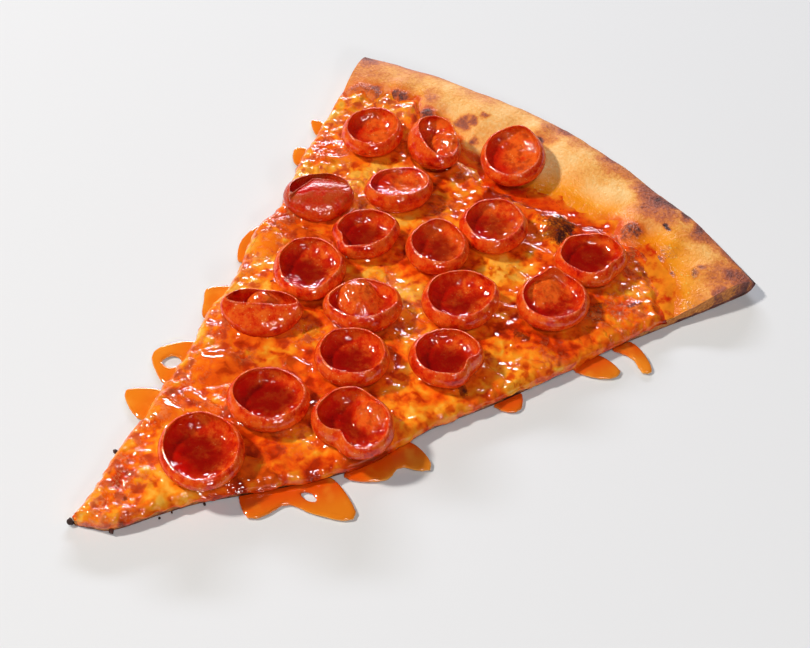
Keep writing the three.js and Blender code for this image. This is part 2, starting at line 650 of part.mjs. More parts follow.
/** The ground that the slice covers, with a hair of room around it, as a solid to cut with. */
function sliceRoom() {
  const border = [];
  for (let station = 0.5; station < SLICE_LENGTH; station += 4) {
    border.push(new THREE.Vector2(...planPoint(station, 0, -HONEY_CLEARANCE)));
    border.unshift(new THREE.Vector2(...planPoint(station, 1, -HONEY_CLEARANCE)));
  }
  const room = new THREE.ExtrudeGeometry(new THREE.Shape(border), {
    depth: 4 * HONEY_THICKNESS, bevelEnabled: false,
  });
  room.translate(0, 0, -2 * HONEY_THICKNESS);
  return toSolid(room);
}

function makeHoney() {
  const room = sliceRoom();
  return HONEY_POOLS.map(({ outline, hole }, i) => {
    const shape = new THREE.Shape(roundLine(outline, outline.length * 3));
    if (hole) shape.holes.push(new THREE.Path(roundLine(hole, 8)));
    const pool = new THREE.ExtrudeGeometry(shape, {
      depth: HONEY_THICKNESS / 2,
      bevelThickness: HONEY_THICKNESS / 2,
      bevelSize: HONEY_EDGE,
      bevelOffset: -HONEY_EDGE,
      bevelSegments: 2,
    });
    const place = pool.attributes.position;
    for (let k = 0; k < place.count; k += 1) place.setZ(k, Math.max(place.getZ(k), 0));
    const solid = toSolid(pool).subtract(room);
    return finished(`honey_${String(i + 1).padStart(2, '0')}`, fromSolid(solid), 'honey');
  });
}

// ---------------------------------------------------------------- the whole slice

const slice = new THREE.Group();
slice.add(makeDough(), makeSauce(), makeCheese(), ...makeCups(), ...makeHoney());

const bounds = new THREE.Box3().setFromObject(slice, true);
slice.position.set(-(bounds.min.x + bounds.max.x) / 2, -(bounds.min.y + bounds.max.y) / 2, -bounds.min.z);

const part = new THREE.Group();
part.add(slice);

export default part;
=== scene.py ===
"""A slice of thin crust pizza with pepperoni cups and honey: its fine surfaces, finishes and studio.

Shapes are worked out in millimetres in the slice's own layout, with the tip at the origin and +Y
running to the crust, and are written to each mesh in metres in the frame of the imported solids.
"""

import json
import logging
import math
from dataclasses import dataclass, field
from enum import Enum
from typing import Any, Iterator, Sequence

import bpy
import numpy as np
from mathutils import Matrix, Vector

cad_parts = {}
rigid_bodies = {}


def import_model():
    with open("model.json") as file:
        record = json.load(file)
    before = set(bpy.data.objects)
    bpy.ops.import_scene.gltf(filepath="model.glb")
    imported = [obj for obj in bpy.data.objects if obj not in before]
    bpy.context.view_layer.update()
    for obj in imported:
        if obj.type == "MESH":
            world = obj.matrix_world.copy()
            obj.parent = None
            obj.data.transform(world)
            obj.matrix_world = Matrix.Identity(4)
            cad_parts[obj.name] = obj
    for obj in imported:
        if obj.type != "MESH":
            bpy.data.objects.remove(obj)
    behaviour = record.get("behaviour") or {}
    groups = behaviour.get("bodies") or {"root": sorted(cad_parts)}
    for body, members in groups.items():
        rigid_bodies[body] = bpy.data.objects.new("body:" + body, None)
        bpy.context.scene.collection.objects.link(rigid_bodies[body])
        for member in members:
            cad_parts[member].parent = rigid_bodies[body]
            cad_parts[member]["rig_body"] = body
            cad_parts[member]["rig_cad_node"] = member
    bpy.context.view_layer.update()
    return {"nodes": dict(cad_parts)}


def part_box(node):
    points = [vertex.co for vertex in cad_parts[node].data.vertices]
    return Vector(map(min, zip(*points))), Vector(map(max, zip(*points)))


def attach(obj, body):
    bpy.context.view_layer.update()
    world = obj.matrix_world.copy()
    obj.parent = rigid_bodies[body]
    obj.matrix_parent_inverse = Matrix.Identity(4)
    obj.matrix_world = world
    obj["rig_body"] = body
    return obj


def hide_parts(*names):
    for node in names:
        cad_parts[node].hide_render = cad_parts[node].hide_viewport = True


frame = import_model()

LOG = logging.getLogger("pizza_slice")
MM = 0.001
BODY = "root"
Array = np.ndarray
Pairs = Sequence[tuple[float, float]]
Spots = Sequence[tuple[float, ...]]


class Slot(Enum):
    """The record's material slots."""

    DOUGH = "dough"
    SAUCE = "sauce"
    CHEESE = "cheese"
    PEPPERONI = "pepperoni"
    HONEY = "honey"


# ---------------------------------------------------------------- small mathematics


def ease(low: float, high: float, value: Array) -> Array:
    """A smooth step from 0 at low to 1 at high."""
    share = np.clip((value - low) / (high - low), 0.0, 1.0)
    return share * share * (3.0 - 2.0 * share)


class Smooth:
    """A smooth function through (position, value) pairs, constant beyond both ends."""

    def __init__(self, pairs: Pairs) -> None:
        """Keeps the pairs and works out the slope at each.

        Args:
            pairs: positions in rising order, each with its value.
        """
        self.x, self.y = np.array(pairs, float).T
        before = np.maximum(np.arange(len(self.x)) - 1, 0)
        after = np.minimum(np.arange(len(self.x)) + 1, len(self.x) - 1)
        self.slope = (self.y[after] - self.y[before]) / (self.x[after] - self.x[before])

    def __call__(self, position: Array) -> Array:
        """The function's values.

        Args:
            position: where to take them.

        Returns:
            One value for each position.
        """
        position = np.clip(position, self.x[0], self.x[-1])
        k = np.clip(np.searchsorted(self.x, position, side="right") - 1, 0, len(self.x) - 2)
        span = self.x[k + 1] - self.x[k]
        t = (position - self.x[k]) / span
        rise = (t**3 - 2 * t**2 + t) * self.slope[k] + (t**3 - t**2) * self.slope[k + 1]
        return (2 * t**3 - 3 * t**2 + 1) * self.y[k] + (3 * t**2 - 2 * t**3) * self.y[k + 1] + rise * span


class Grain:
    """Smooth seeded noise over the plan, from about -1 to 1."""

    TILE = 64
    SHIFT = (17.3, -9.1)

    def __init__(self, seed: int, cell: float, octaves: int = 1) -> None:
        """Draws the noise's lattices.

        Args:
            seed: makes the draw repeatable.
            cell: size of the coarsest lumps, in millimetres.
            octaves: how many times finer and fainter lumps are added.
        """
        draw = np.random.default_rng(seed)
        self.cell = cell
        self.tables = [draw.uniform(-1, 1, (self.TILE, self.TILE)) for _ in range(octaves)]

    def __call__(self, x: Array, y: Array) -> Array:
        """Noise at points of the plan.

        Args:
            x: first coordinates in millimetres.
            y: second coordinates in millimetres.

        Returns:
            One value for each point.
        """
        total = np.zeros(np.broadcast(x, y).shape)
        for octave, table in enumerate(self.tables):
            u = x * 2**octave / self.cell + self.SHIFT[0] * octave
            v = y * 2**octave / self.cell + self.SHIFT[1] * octave
            i, j = np.floor(u).astype(int), np.floor(v).astype(int)
            s, t = ease(0, 1, u - i), ease(0, 1, v - j)
            corner = [[table[(i + a) % self.TILE, (j + b) % self.TILE] for b in (0, 1)] for a in (0, 1)]
            low = corner[0][0] * (1 - s) + corner[1][0] * s
            high = corner[0][1] * (1 - s) + corner[1][1] * s
            total = total + (low * (1 - t) + high * t) * 0.5**octave
        return total


# How far spots' outlines stray, in millimetres, and the noises that say which way. A spot is whole
# within SPOT_CORE of its radii and gone at SPOT_REACH.
STRAYS = (2.0, 0.9)
SIDEWAYS = (Grain(1, 6.0), Grain(2, 2.3))
ALONG = (Grain(3, 6.0), Grain(4, 2.3))
SPOT_CORE = 0.3
SPOT_REACH = 1.25


def strayed(x: Array, y: Array) -> tuple[Array, Array]:
    """Points of the plan moved a little this way and that, for spots with uneven outlines.

    Args:
        x: first coordinates.
        y: second coordinates.

    Returns:
        The moved coordinates.
    """
    plan = x, y
    for amount, sideways, along in zip(STRAYS, SIDEWAYS, ALONG):
        x, y = x + amount * sideways(*plan), y + amount * along(*plan)
    return x, y


def each_spot(spots: Spots, x: Array, y: Array) -> Iterator[tuple[Array, float]]:
    """Goes through spots, given as (x, y, radius, amount).

    Args:
        spots: the spots.
        x: first coordinates.
        y: second coordinates.

    Yields:
        How far the points lie from a spot's middle, in its radii, and its amount.
    """
    for middle_x, middle_y, radius, amount in spots:
        yield np.hypot(x - middle_x, y - middle_y) / radius, amount


def bumps(spots: Spots, x: Array, y: Array) -> Array:
    """Total height of round bumps.

    Args:
        spots: (x, y, radius, height) of each.
        x: first coordinates.
        y: second coordinates.

    Returns:
        The height at each point.
    """
    total = np.zeros(np.shape(x))
    for away, height in each_spot(spots, x, y):
        total = total + np.where(away < 1, height * (1 - away**2) ** 2, 0)
    return total


def spotted(spots: Spots, x: Array, y: Array) -> Array:
    """A mask of soft spots with uneven outlines.

    Args:
        spots: (x, y, radius, strength) of each.
        x: first coordinates.
        y: second coordinates.

    Returns:
        The strongest spot's strength at each point.
    """
    total = np.zeros(np.shape(x))
    for away, strength in each_spot(spots, *strayed(x, y)):
        total = np.maximum(total, strength * (1 - ease(SPOT_CORE, SPOT_REACH, away)))
    return total


# ---------------------------------------------------------------- plan and layers of the slice


class Plan:
    """The slice seen from above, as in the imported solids."""

    LENGTH = 242.7
    LEFT_REACH = 240.6
    RIGHT_REACH = 247.0
    HALF_ANGLE = math.radians(22.4)
    ARC_BULGE = 0.0761
    RIM_START = 190.0
    PLACE_ROUNDS = 6
    LEFT_WANDER = Smooth((
        (0, -0.2), (8, -2.5), (15, -3.1), (28, -2.9), (58, -4.5), (71, -5.4), (94, -3.1), (106, -5.0),
        (120, -3.9), (137, -1.5), (151, -4.4), (165, -3.8), (178, -1.8), (200, -1.6), (226, -1.1),
        (250, -1.4),
    ))
    RIGHT_WANDER = Smooth((
        (0, 0.6), (4, 3.8), (10, 7.6), (26, 8.0), (38, 8.8), (50, 11.2), (65, 13.8), (78, 15.6),
        (92, 15.4), (100, 13.6), (113, 10.9), (135, 9.7), (150, 8.2), (165, 6.3), (180, 3.8),
        (200, 2.4), (226, 1.1), (250, -1.0),
    ))
    OUTER_WANDER = Smooth((
        (0, 2.8), (0.13, 2.2), (0.3, 1.6), (0.45, 1.2), (0.6, 0.5), (0.72, 0.1), (0.8, 0.8), (1, 0.6),
    ))

    @classmethod
    def cuts(cls, station: Array, inset: Array | float = 0.0) -> tuple[Array, Array, Array, Array]:
        """The ends of a row.

        Args:
            station: distance from the tip along the middle.
            inset: distance kept from each cut.

        Returns:
            x and y of the left end, then x and y of the right end.
        """
        sin, cos = math.sin(cls.HALF_ANGLE), math.cos(cls.HALF_ANGLE)
        left = station * cls.LEFT_REACH / cls.LENGTH
        right = station * cls.RIGHT_REACH / cls.LENGTH
        left_out = cls.LEFT_WANDER(station) - inset
        right_out = cls.RIGHT_WANDER(station) - inset
        return (
            -sin * left - cos * left_out, cos * left - sin * left_out,
            sin * right + cos * right_out, cos * right - sin * right_out,
        )

    @classmethod
    def point(cls, station: Array, across: Array, inset: Array | float = 0.0) -> tuple[Array, Array]:
        """A point of the plan.

        Args:
            station: distance from the tip along the middle.
            across: share of the way from the left cut to the right one.
            inset: distance kept from each cut.

        Returns:
            Its x and y.
        """
        left_x, left_y, right_x, right_y = cls.cuts(station, inset)
        bulge = 4 * across * (1 - across) * cls.ARC_BULGE * station
        beyond = cls.OUTER_WANDER(across) * ease(cls.RIM_START, cls.LENGTH, station)
        return left_x + (right_x - left_x) * across, left_y + (right_y - left_y) * across + bulge + beyond

    @classmethod
    def place(cls, x: Array, y: Array) -> tuple[Array, Array]:
        """The station and the share of the width at a point.

        Args:
            x: first coordinates.
            y: second coordinates.

        Returns:
            Stations and shares.
        """
        x, y = np.asarray(x, float), np.asarray(y, float)
        station = np.hypot(x, y)
        across = np.full(np.shape(x), 0.5)
        for _ in range(cls.PLACE_ROUNDS):
            left_x, _, right_x, _ = cls.cuts(station)
            across = np.clip((x - left_x) / (right_x - left_x), 0, 1)
            station = station + y - cls.point(station, across)[1]
        return station, across

    @classmethod
    def width(cls, station: Array) -> Array:
        """The length of a row."""
        left_x, _, right_x, _ = cls.cuts(station)
        return right_x - left_x


class Layers:
    """Heights of the slice's layers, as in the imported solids."""

    BASE = 2.4
    OUTER_EDGE = 3.6
    RIM_PROFILE = Smooth((
        (0, 0.07), (1.0, 0.42), (3.2, 0.78), (7, 0.97), (12, 1.0), (18, 0.84), (26, 0.48),
        (34, 0.19), (42, 0.04), (50, 0),
    ))
    RIM_HEIGHT = Smooth((
        (0, 8.2), (0.12, 8.8), (0.3, 9.2), (0.45, 9.6), (0.6, 9.2), (0.75, 8.2), (0.9, 6.4), (1, 4.6),
    ))
    RIPPLE = 0.35
    RIPPLE_LENGTH = 7.3
    UNDERCUT = Smooth(((0, 3.6), (1.0, 1.5), (2.6, 0.35), (4.6, 0)))
    GAP = 0.5
    BUBBLE_SLACK = 0.2
    SAUCE = 0.5
    SAUCE_START = 3.5
    SAUCE_INSET = 0.8
    SAUCE_END = Smooth((
        (0, 222), (0.04, 226), (0.12, 227.5), (0.18, 225), (0.22, 223), (0.28, 217), (0.34, 212),
        (0.42, 211), (0.52, 211), (0.6, 214), (0.68, 216), (0.73, 219), (0.77, 223.5), (0.82, 222),
        (0.88, 218), (0.93, 217), (1, 210),
    ))
    CHEESE = 1.9
    CHEESE_EDGE = 0.9
    CHEESE_END = Smooth((
        (0, 219), (0.05, 222), (0.12, 223), (0.18, 220.5), (0.22, 218.5), (0.28, 212), (0.34, 206),
        (0.42, 204), (0.52, 204), (0.6, 206.5), (0.68, 209), (0.77, 216), (0.88, 213), (1, 206),
    ))
    CHEESE_LIP = Smooth((
        (0, -0.4), (20, 0.7), (45, 0.3), (70, 0.9), (95, 0.4), (120, 1.0), (150, 0.5), (180, 0.8),
        (205, 0.2), (250, -0.3),
    ))
    EDGE_STRIP = 2.0
    END_STRIP = 5.0
    RELIEF = 0.34
    SEAT_STRIP = 3.5
    BUBBLE_STRIP = 8.0
    BUBBLES = (
        (26, 200, 11.5, 2.5), (46, 218, 9, 1.8), (65, 211, 7, 0.6), (63, 220, 6, 0.8),
        (75, 209, 7, 0.6), (78, 218, 6, 0.8), (-49, 215.5, 8, 1.4), (-77, 208, 9, 0.7),
        (-65, 216, 7, 1.0), (-8, 233.5, 6, 1.0), (-33, 227, 9, 0.8),
    )
    CHARRED = (
        (-78.5, 203, 3.4, 1.1), (-76.5, 206.4, 3.8, 1.3), (-72.5, 208.2, 3.6, 1.3), (-69, 208.6, 3.0, 1.1),
        (-63.8, 213.6, 3.0, 1.0), (-60, 215, 3.0, 1.0), (-48.6, 212.4, 3.4, 1.1), (-45, 214.6, 3.4, 1.2),
        (49, 214.0, 6.2, 2.0),
    )
    BLISTERS = (
        (70.5, 186, 6, 1.2), (62, 150, 7, 0.7), (-57, 168, 6, 0.8), (4, 138, 5, 0.6),
        (-10.5, 69.5, 10, 1.5), (41, 54, 6, 0.8), (-7, 46, 5, 0.7), (4, 22, 6, 0.9),
        (-48, 127, 5, 0.7), (56, 96, 6, 0.7), (30, 168, 5, 0.6), (68, 172, 5, 0.8),
    )

    @classmethod
    def arch(cls, station: Array, across: Array) -> Array:
        """Height of the bubbles in the dough."""
        fade = ease(Plan.RIM_START, Plan.RIM_START + cls.BUBBLE_STRIP, station)
        return bumps(cls.BUBBLES, *Plan.point(station, across)) * fade

    @classmethod
    def dough_top(cls, station: Array, across: Array) -> Array:
        """Height of the dough's upper face.

        Args:
            station: distances from the tip along the middle.
            across: shares of the width.

        Returns:
            The height at each point.
        """
        inward = Plan.LENGTH - station
        x, _ = Plan.point(station, across)
        on_rim = ease(3, 10, inward) * (1 - ease(24, 40, inward))
        ripple = cls.RIPPLE * np.sin(x / cls.RIPPLE_LENGTH + 0.6) * on_rim
        rim = cls.RIM_HEIGHT(across) * cls.RIM_PROFILE(inward)
        return np.where(inward <= 0, cls.OUTER_EDGE, cls.BASE + rim + cls.arch(station, across) + ripple)

    @classmethod
    def margin(cls, end: Array, across: Array) -> Array:
        """A layer's margin, held back where charred bubbles stand.

        Args:
            end: the stations of the plain margin.
            across: shares of the width.

        Returns:
            The stations of the margin.
        """
        for x, y, radius, _ in cls.CHARRED:
            station, middle = Plan.place(np.array([x]), np.array([y]))
            away = (across - middle[0]) * Plan.width(station)[0] / radius
            end = end - np.maximum(end - station[0] + 0.8 * radius, 0) * np.exp(-(away**2))
        return end

    @classmethod
    def gap(cls, station: Array, across: Array) -> Array:
        """The room between two layers."""
        return cls.GAP + cls.BUBBLE_SLACK * cls.arch(station, across)

    @classmethod
    def sauce_top(cls, station: Array, across: Array) -> Array:
        """Height of the sauce's upper face."""
        return cls.dough_top(station, across) + cls.gap(station, across) + cls.SAUCE

    @classmethod
    def cheese_top(cls, station: Array, across: Array) -> Array:
        """Height of the cheese's upper face, without its finest relief.

        Args:
            station: distances from the tip along the middle.
            across: shares of the width.

        Returns:
            The height at each point: calm under the cups, thinner at the cuts and the margin.
        """
        x, y = Plan.point(station, across)
        waves = np.sin(x / 4.1 + 0.7) * np.cos(y / 4.9 - 0.4)
        waves = waves + 0.6 * np.sin((x + y) / 3.1 + 1.1) * np.cos((x - y) / 5.7 + 0.3)
        freedom = np.ones(np.shape(x))
        for cup in CUPS:
            foot = cup.radius * Cup.FOOT_SHARE + Cup.SEAT_MARGIN
            away = np.hypot(x - cup.at[0], y - cup.at[1])
            freedom = np.minimum(freedom, ease(foot, foot + cls.SEAT_STRIP, away))
        relief = freedom * (cls.RELIEF * waves + bumps(cls.BLISTERS, x, y))
        from_cut = np.minimum(across, 1 - across) * Plan.width(station)
        from_end = cls.CHEESE_END(across) - station
        body = np.minimum(ease(0, cls.EDGE_STRIP, from_cut), ease(0, cls.END_STRIP, from_end))
        thick = cls.CHEESE_EDGE + (cls.CHEESE - cls.CHEESE_EDGE) * body + relief * body
        return cls.sauce_top(station, across) + cls.gap(station, across) + thick

    @classmethod
    def surface(cls, x: Array, y: Array) -> Array:
        """Height of whatever covers the slice at points of the plan.

        Args:
            x: first coordinates.
            y: second coordinates.

        Returns:
            The height at each point.
        """
        place = station, across = Plan.place(x, y)
        top = np.where(station < cls.SAUCE_END(across), cls.sauce_top(*place), cls.dough_top(*place))
        return np.where(station < cls.CHEESE_END(across), cls.cheese_top(*place), top)


# ---------------------------------------------------------------- making meshes

# Vertices nearer than WELD and edges shorter than SLIVER, in metres, are merged. HAIR is a small share
# of a block's unit height.
WELD = 2e-6
SLIVER = 1e-6
HAIR = 1e-4


def deselect() -> None:
    """Deselects every object."""
    bpy.ops.object.select_all(action="DESELECT")


def take(obj: bpy.types.Object) -> None:
    """Makes one object the only selected and active one."""
    deselect()
    obj.select_set(True)
    bpy.context.view_layer.objects.active = obj


def raised_block(name: str, steps: int) -> bpy.types.Object:
    """Raises the active flat primitive to a closed block of unit height.

    Args:
        name: the object's name.
        steps: rings of faces in its wall.

    Returns:
        The block, whose vertices hold shares of the finished shape until they are placed.
    """
    obj = bpy.context.object
    obj.name = obj.data.name = name
    bpy.ops.object.transform_apply(location=True, rotation=False, scale=False)
    bpy.ops.object.mode_set(mode="EDIT")
    bpy.ops.mesh.select_all(action="SELECT")
    for _ in range(steps):
        bpy.ops.mesh.extrude_region_move(TRANSFORM_OT_translate={"value": (0, 0, 1 / steps)})
    bpy.ops.mesh.select_all(action="SELECT")
    bpy.ops.mesh.normals_make_consistent(inside=False)
    bpy.ops.object.mode_set(mode="OBJECT")
    return obj


def grid_block(name: str, columns: int, rows: int, steps: int = 1) -> bpy.types.Object:
    """A closed block made of a grid, whose vertices hold (across, along, up) from 0 to 1.

    Args:
        name: the object's name.
        columns: cells across.
        rows: cells along.
        steps: rings of faces in its wall.

    Returns:
        The block.
    """
    deselect()
    bpy.ops.mesh.primitive_grid_add(
        x_subdivisions=columns, y_subdivisions=rows, size=1, location=(0.5, 0.5, 0)
    )
    return raised_block(name, steps)


def rows_of(parts: bpy.types.bpy_prop_collection, name: str) -> Array:
    """A vector property of a mesh's parts, as an array of rows.

    Args:
        parts: the mesh's vertices or faces.
        name: the property.

    Returns:
        One row for each part.
    """
    flat = np.zeros(len(parts) * 3)
    parts.foreach_get(name, flat)
    return flat.reshape(-1, 3)


def coordinates(obj: bpy.types.Object) -> Array:
    """The vertices' coordinates as an array of rows."""
    return rows_of(obj.data.vertices, "co")


def put(obj: bpy.types.Object, x: Array, y: Array, z: Array) -> None:
    """Places the vertices at points of the slice's layout.

    Args:
        obj: the mesh object.
        x: first coordinates in millimetres.
        y: second coordinates.
        z: heights.
    """
    place = np.stack([x, y, z], axis=1) * MM + ORIGIN
    obj.data.vertices.foreach_set("co", place.ravel())
    obj.data.update()


def choose_faces(obj: bpy.types.Object, chosen: Array) -> None:
    """Selects faces.

    Args:
        obj: the mesh object.
        chosen: one truth value for each face.
    """
    bpy.context.tool_settings.mesh_select_mode = (False, False, True)
    for part in (obj.data.vertices, obj.data.edges):
        part.foreach_set("select", np.zeros(len(part), bool))
    obj.data.polygons.foreach_set("select", chosen)


def refine(obj: bpy.types.Object, low: float) -> None:
    """Halves the cells of a block's upper face beyond a share of its length.

    Args:
        obj: the block, before its vertices are placed.
        low: the share where the finer cells start.
    """
    centres = rows_of(obj.data.polygons, "center")
    choose_faces(obj, (centres[:, 2] > 1 - HAIR) & (centres[:, 1] > low))
    bpy.ops.object.mode_set(mode="EDIT")
    bpy.ops.mesh.subdivide(number_cuts=1, quadcorner="INNERVERT")
    bpy.ops.object.mode_set(mode="OBJECT")


def paint(obj: bpy.types.Object, **masks: Array) -> None:
    """Stores masks for the finishes to read.

    Args:
        obj: the mesh object.
        masks: one value for each vertex, by the mask's name.
    """
    for name, values in masks.items():
        attribute = obj.data.attributes.new(name, "FLOAT", "POINT")
        attribute.data.foreach_set("value", np.asarray(values, np.float32))


def close_up(obj: bpy.types.Object, angle: float = 60.0) -> None:
    """Merges doubled vertices, turns the faces outwards and smooths the shading.

    Args:
        obj: the mesh object.
        angle: edges sharper than this, in degrees, stay sharp.
    """
    take(obj)
    bpy.ops.object.mode_set(mode="EDIT")
    bpy.ops.mesh.select_all(action="SELECT")
    bpy.ops.mesh.remove_doubles(threshold=WELD)
    bpy.ops.mesh.dissolve_degenerate(threshold=SLIVER)
    bpy.ops.mesh.select_all(action="SELECT")
    bpy.ops.mesh.normals_make_consistent(inside=False)
    bpy.ops.object.mode_set(mode="OBJECT")
    bpy.ops.object.shade_smooth_by_angle(angle=math.radians(angle))
    deselect()


def serve(obj: bpy.types.Object, slot: Slot, finish: bpy.types.Material, *nodes: str) -> None:
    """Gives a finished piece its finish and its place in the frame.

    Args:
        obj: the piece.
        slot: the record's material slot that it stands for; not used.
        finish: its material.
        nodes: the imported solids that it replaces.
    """
    obj.data.materials.clear()
    obj.data.materials.append(finish)
    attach(obj, BODY)
    if nodes:
        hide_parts(*nodes)
    obj.data.calc_loop_triangles()
    LOG.info("%s: %d triangles", obj.name, len(obj.data.loop_triangles))


# ---------------------------------------------------------------- shading tools


def tint(*levels: int) -> tuple[float, float, float, float]:
    """Red, green and blue as the eye sees them, from 0 to 255, as the linear colour that shaders take."""
    linear = [(v / 255 / 12.92 if v <= 10 else ((v / 255 + 0.055) / 1.055) ** 2.4) for v in levels]
    return (*linear, 1.0)


class Value:
    """A number on a finish's wires, which arithmetic extends by Math nodes."""

    def __init__(self, bench: "Bench", socket: bpy.types.NodeSocket) -> None:
        """Keeps the socket and the bench that it is on."""
        self.bench, self.socket = bench, socket

    def _math(self, operation: str, first: Any, second: Any) -> "Value":
        """Adds a Math node.

        Args:
            operation: the node's operation.
            first: its first number.
            second: its second number.

        Returns:
            The node's result.
        """
        node = self.bench.node("ShaderNodeMath", {"operation": operation}, {0: first, 1: second})
        return Value(self.bench, node.outputs[0])

    def __add__(self, other: Any) -> "Value":
        """The sum."""
        return self._math("ADD", self, other)

    __radd__ = __add__

    def __mul__(self, other: Any) -> "Value":
        """The product."""
        return self._math("MULTIPLY", self, other)

    __rmul__ = __mul__

    def __sub__(self, other: Any) -> "Value":
        """The difference."""
        return self._math("SUBTRACT", self, other)

    def __rsub__(self, other: Any) -> "Value":
        """The difference the other way round."""
        return self._math("SUBTRACT", other, self)

    def most(self, other: Any) -> "Value":
        """The larger of two numbers."""
        return self._math("MAXIMUM", self, other)


class Bench:
    """A finish under construction: its nodes, and the few ways in which they are joined."""

    def __init__(self, name: str) -> None:
        """Starts a material with an empty Principled shader.

        Args:
            name: the material's name.
        """
        self.material = bpy.data.materials.new(name)
        self.material.use_nodes = True
        self.tree = self.material.node_tree
        self.shader = self.tree.nodes["Principled BSDF"]
        place = self.node("ShaderNodeTexCoord").outputs["Object"]
        self.place = self.node(
            "ShaderNodeVectorMath", {"operation": "SCALE"}, {"Vector": place, "Scale": 1 / MM}
        ).outputs[0]

    def node(
        self, kind: str, settings: dict[str, Any] | None = None, inputs: dict[Any, Any] | None = None
    ) -> Any:
        """Adds a node.

        Args:
            kind: the node's type.
            settings: its properties, and the stops of a ramp as (position, colour) pairs.
            inputs: values or links of its sockets, by name or number.

        Returns:
            The node.
        """
        made = self.tree.nodes.new(kind)
        for name, value in (settings or {}).items():
            if name == "stops":
                self._set_stops(made.color_ramp, value)
            else:
                setattr(made, name, value)
        for name, value in (inputs or {}).items():
            self.plug(made.inputs[name], value)
        return made

    @staticmethod
    def _set_stops(ramp: bpy.types.ColorRamp, stops: Sequence[tuple[float, tuple]]) -> None:
        """Sets a ramp's stops.

        Args:
            ramp: the ramp.
            stops: the position and colour of each.
        """
        while len(ramp.elements) < len(stops):
            ramp.elements.new(1.0)
        for element, (position, colour) in zip(ramp.elements, stops):
            element.position = position
            element.color = colour

    def plug(self, socket: bpy.types.NodeSocket, value: Any) -> None:
        """Links a socket, or sets it where the value is a plain one.

        Args:
            socket: the socket.
            value: what it is linked to, or its value.
        """
        if isinstance(value, Value):
            value = value.socket
        if isinstance(value, bpy.types.NodeSocket):
            self.tree.links.new(value, socket)
        else:
            socket.default_value = value

    def mask(self, name: str) -> Value:
        """A mask that the mesh carries."""
        node = self.node("ShaderNodeAttribute", {"attribute_name": name})
        return Value(self, node.outputs["Fac"])

    def noise(self, size: float, detail: float = 2.0, rough: float = 0.5, warp: float = 0.0) -> Value:
        """Cloudy noise from 0 to 1.

        Args:
            size: size of its lumps in millimetres.
            detail: how many finer octaves it has.
            rough: how strong they are.
            warp: how much it is distorted.

        Returns:
            The noise.
        """
        inputs = {"Detail": detail, "Roughness": rough, "Distortion": warp}
        inputs |= {"Vector": self.place, "Scale": 1 / size}
        return Value(self, self.node("ShaderNodeTexNoise", None, inputs).outputs[0])

    def dots(self, size: float) -> Value:
        """Distance from the nearest of scattered points, in cells of a size in millimetres."""
        inputs = {"Vector": self.place, "Scale": 1 / size}
        return Value(self, self.node("ShaderNodeTexVoronoi", None, inputs).outputs["Distance"])

    def step(self, value: Value, low: float, high: float) -> Value:
        """A smooth step of a value.

        Args:
            value: the value.
            low: where the step is 0.
            high: where it is 1. It may be less than low.

        Returns:
            The step.
        """
        inputs = {"Value": value, "From Min": low, "From Max": high}
        node = self.node("ShaderNodeMapRange", {"interpolation_type": "SMOOTHSTEP"}, inputs)
        return Value(self, node.outputs[0])

    def mix(self, factor: Any, first: Any, second: Any) -> bpy.types.NodeSocket:
        """A blend of two colours."""
        node = self.node("ShaderNodeMix", {"data_type": "RGBA"}, {0: factor, 6: first, 7: second})
        return node.outputs[2]

    def coats(self, colour: Any, *coats: tuple[Any, Any]) -> Any:
        """Lays colours over each other.

        Args:
            colour: what lies under them.
            coats: how much each coat covers and its colour, the lowest first.

        Returns:
            The colour on top.
        """
        for cover, tinted in coats:
            colour = self.mix(cover, colour, tinted)
        return colour

    def ramp(self, value: Value, stops: Sequence[tuple[float, tuple]]) -> bpy.types.NodeSocket:
        """A colour that follows a value."""
        return self.node("ShaderNodeValToRGB", {"stops": stops}, {0: value}).outputs[0]

    def finish(
        self, colour: Any, roughness: Any, height: Value | None = None, **sockets: Any
    ) -> bpy.types.Material:
        """Wires the shader.

        Args:
            colour: base colour.
            roughness: roughness.
            height: relief in millimetres, for the Bump node.
            sockets: constants for the shader's other sockets, with _ for a space in their names.

        Returns:
            The material.
        """
        self.plug(self.shader.inputs["Base Color"], colour)
        self.plug(self.shader.inputs["Roughness"], roughness)
        if height is not None:
            bump = self.node("ShaderNodeBump", None, {"Height": height, "Distance": MM, "Strength": 1.0})
            self.plug(self.shader.inputs["Normal"], bump.outputs[0])
        for name, value in sockets.items():
            self.plug(self.shader.inputs[name.replace("_", " ")], value)
        return self.material


# ---------------------------------------------------------------- finishes


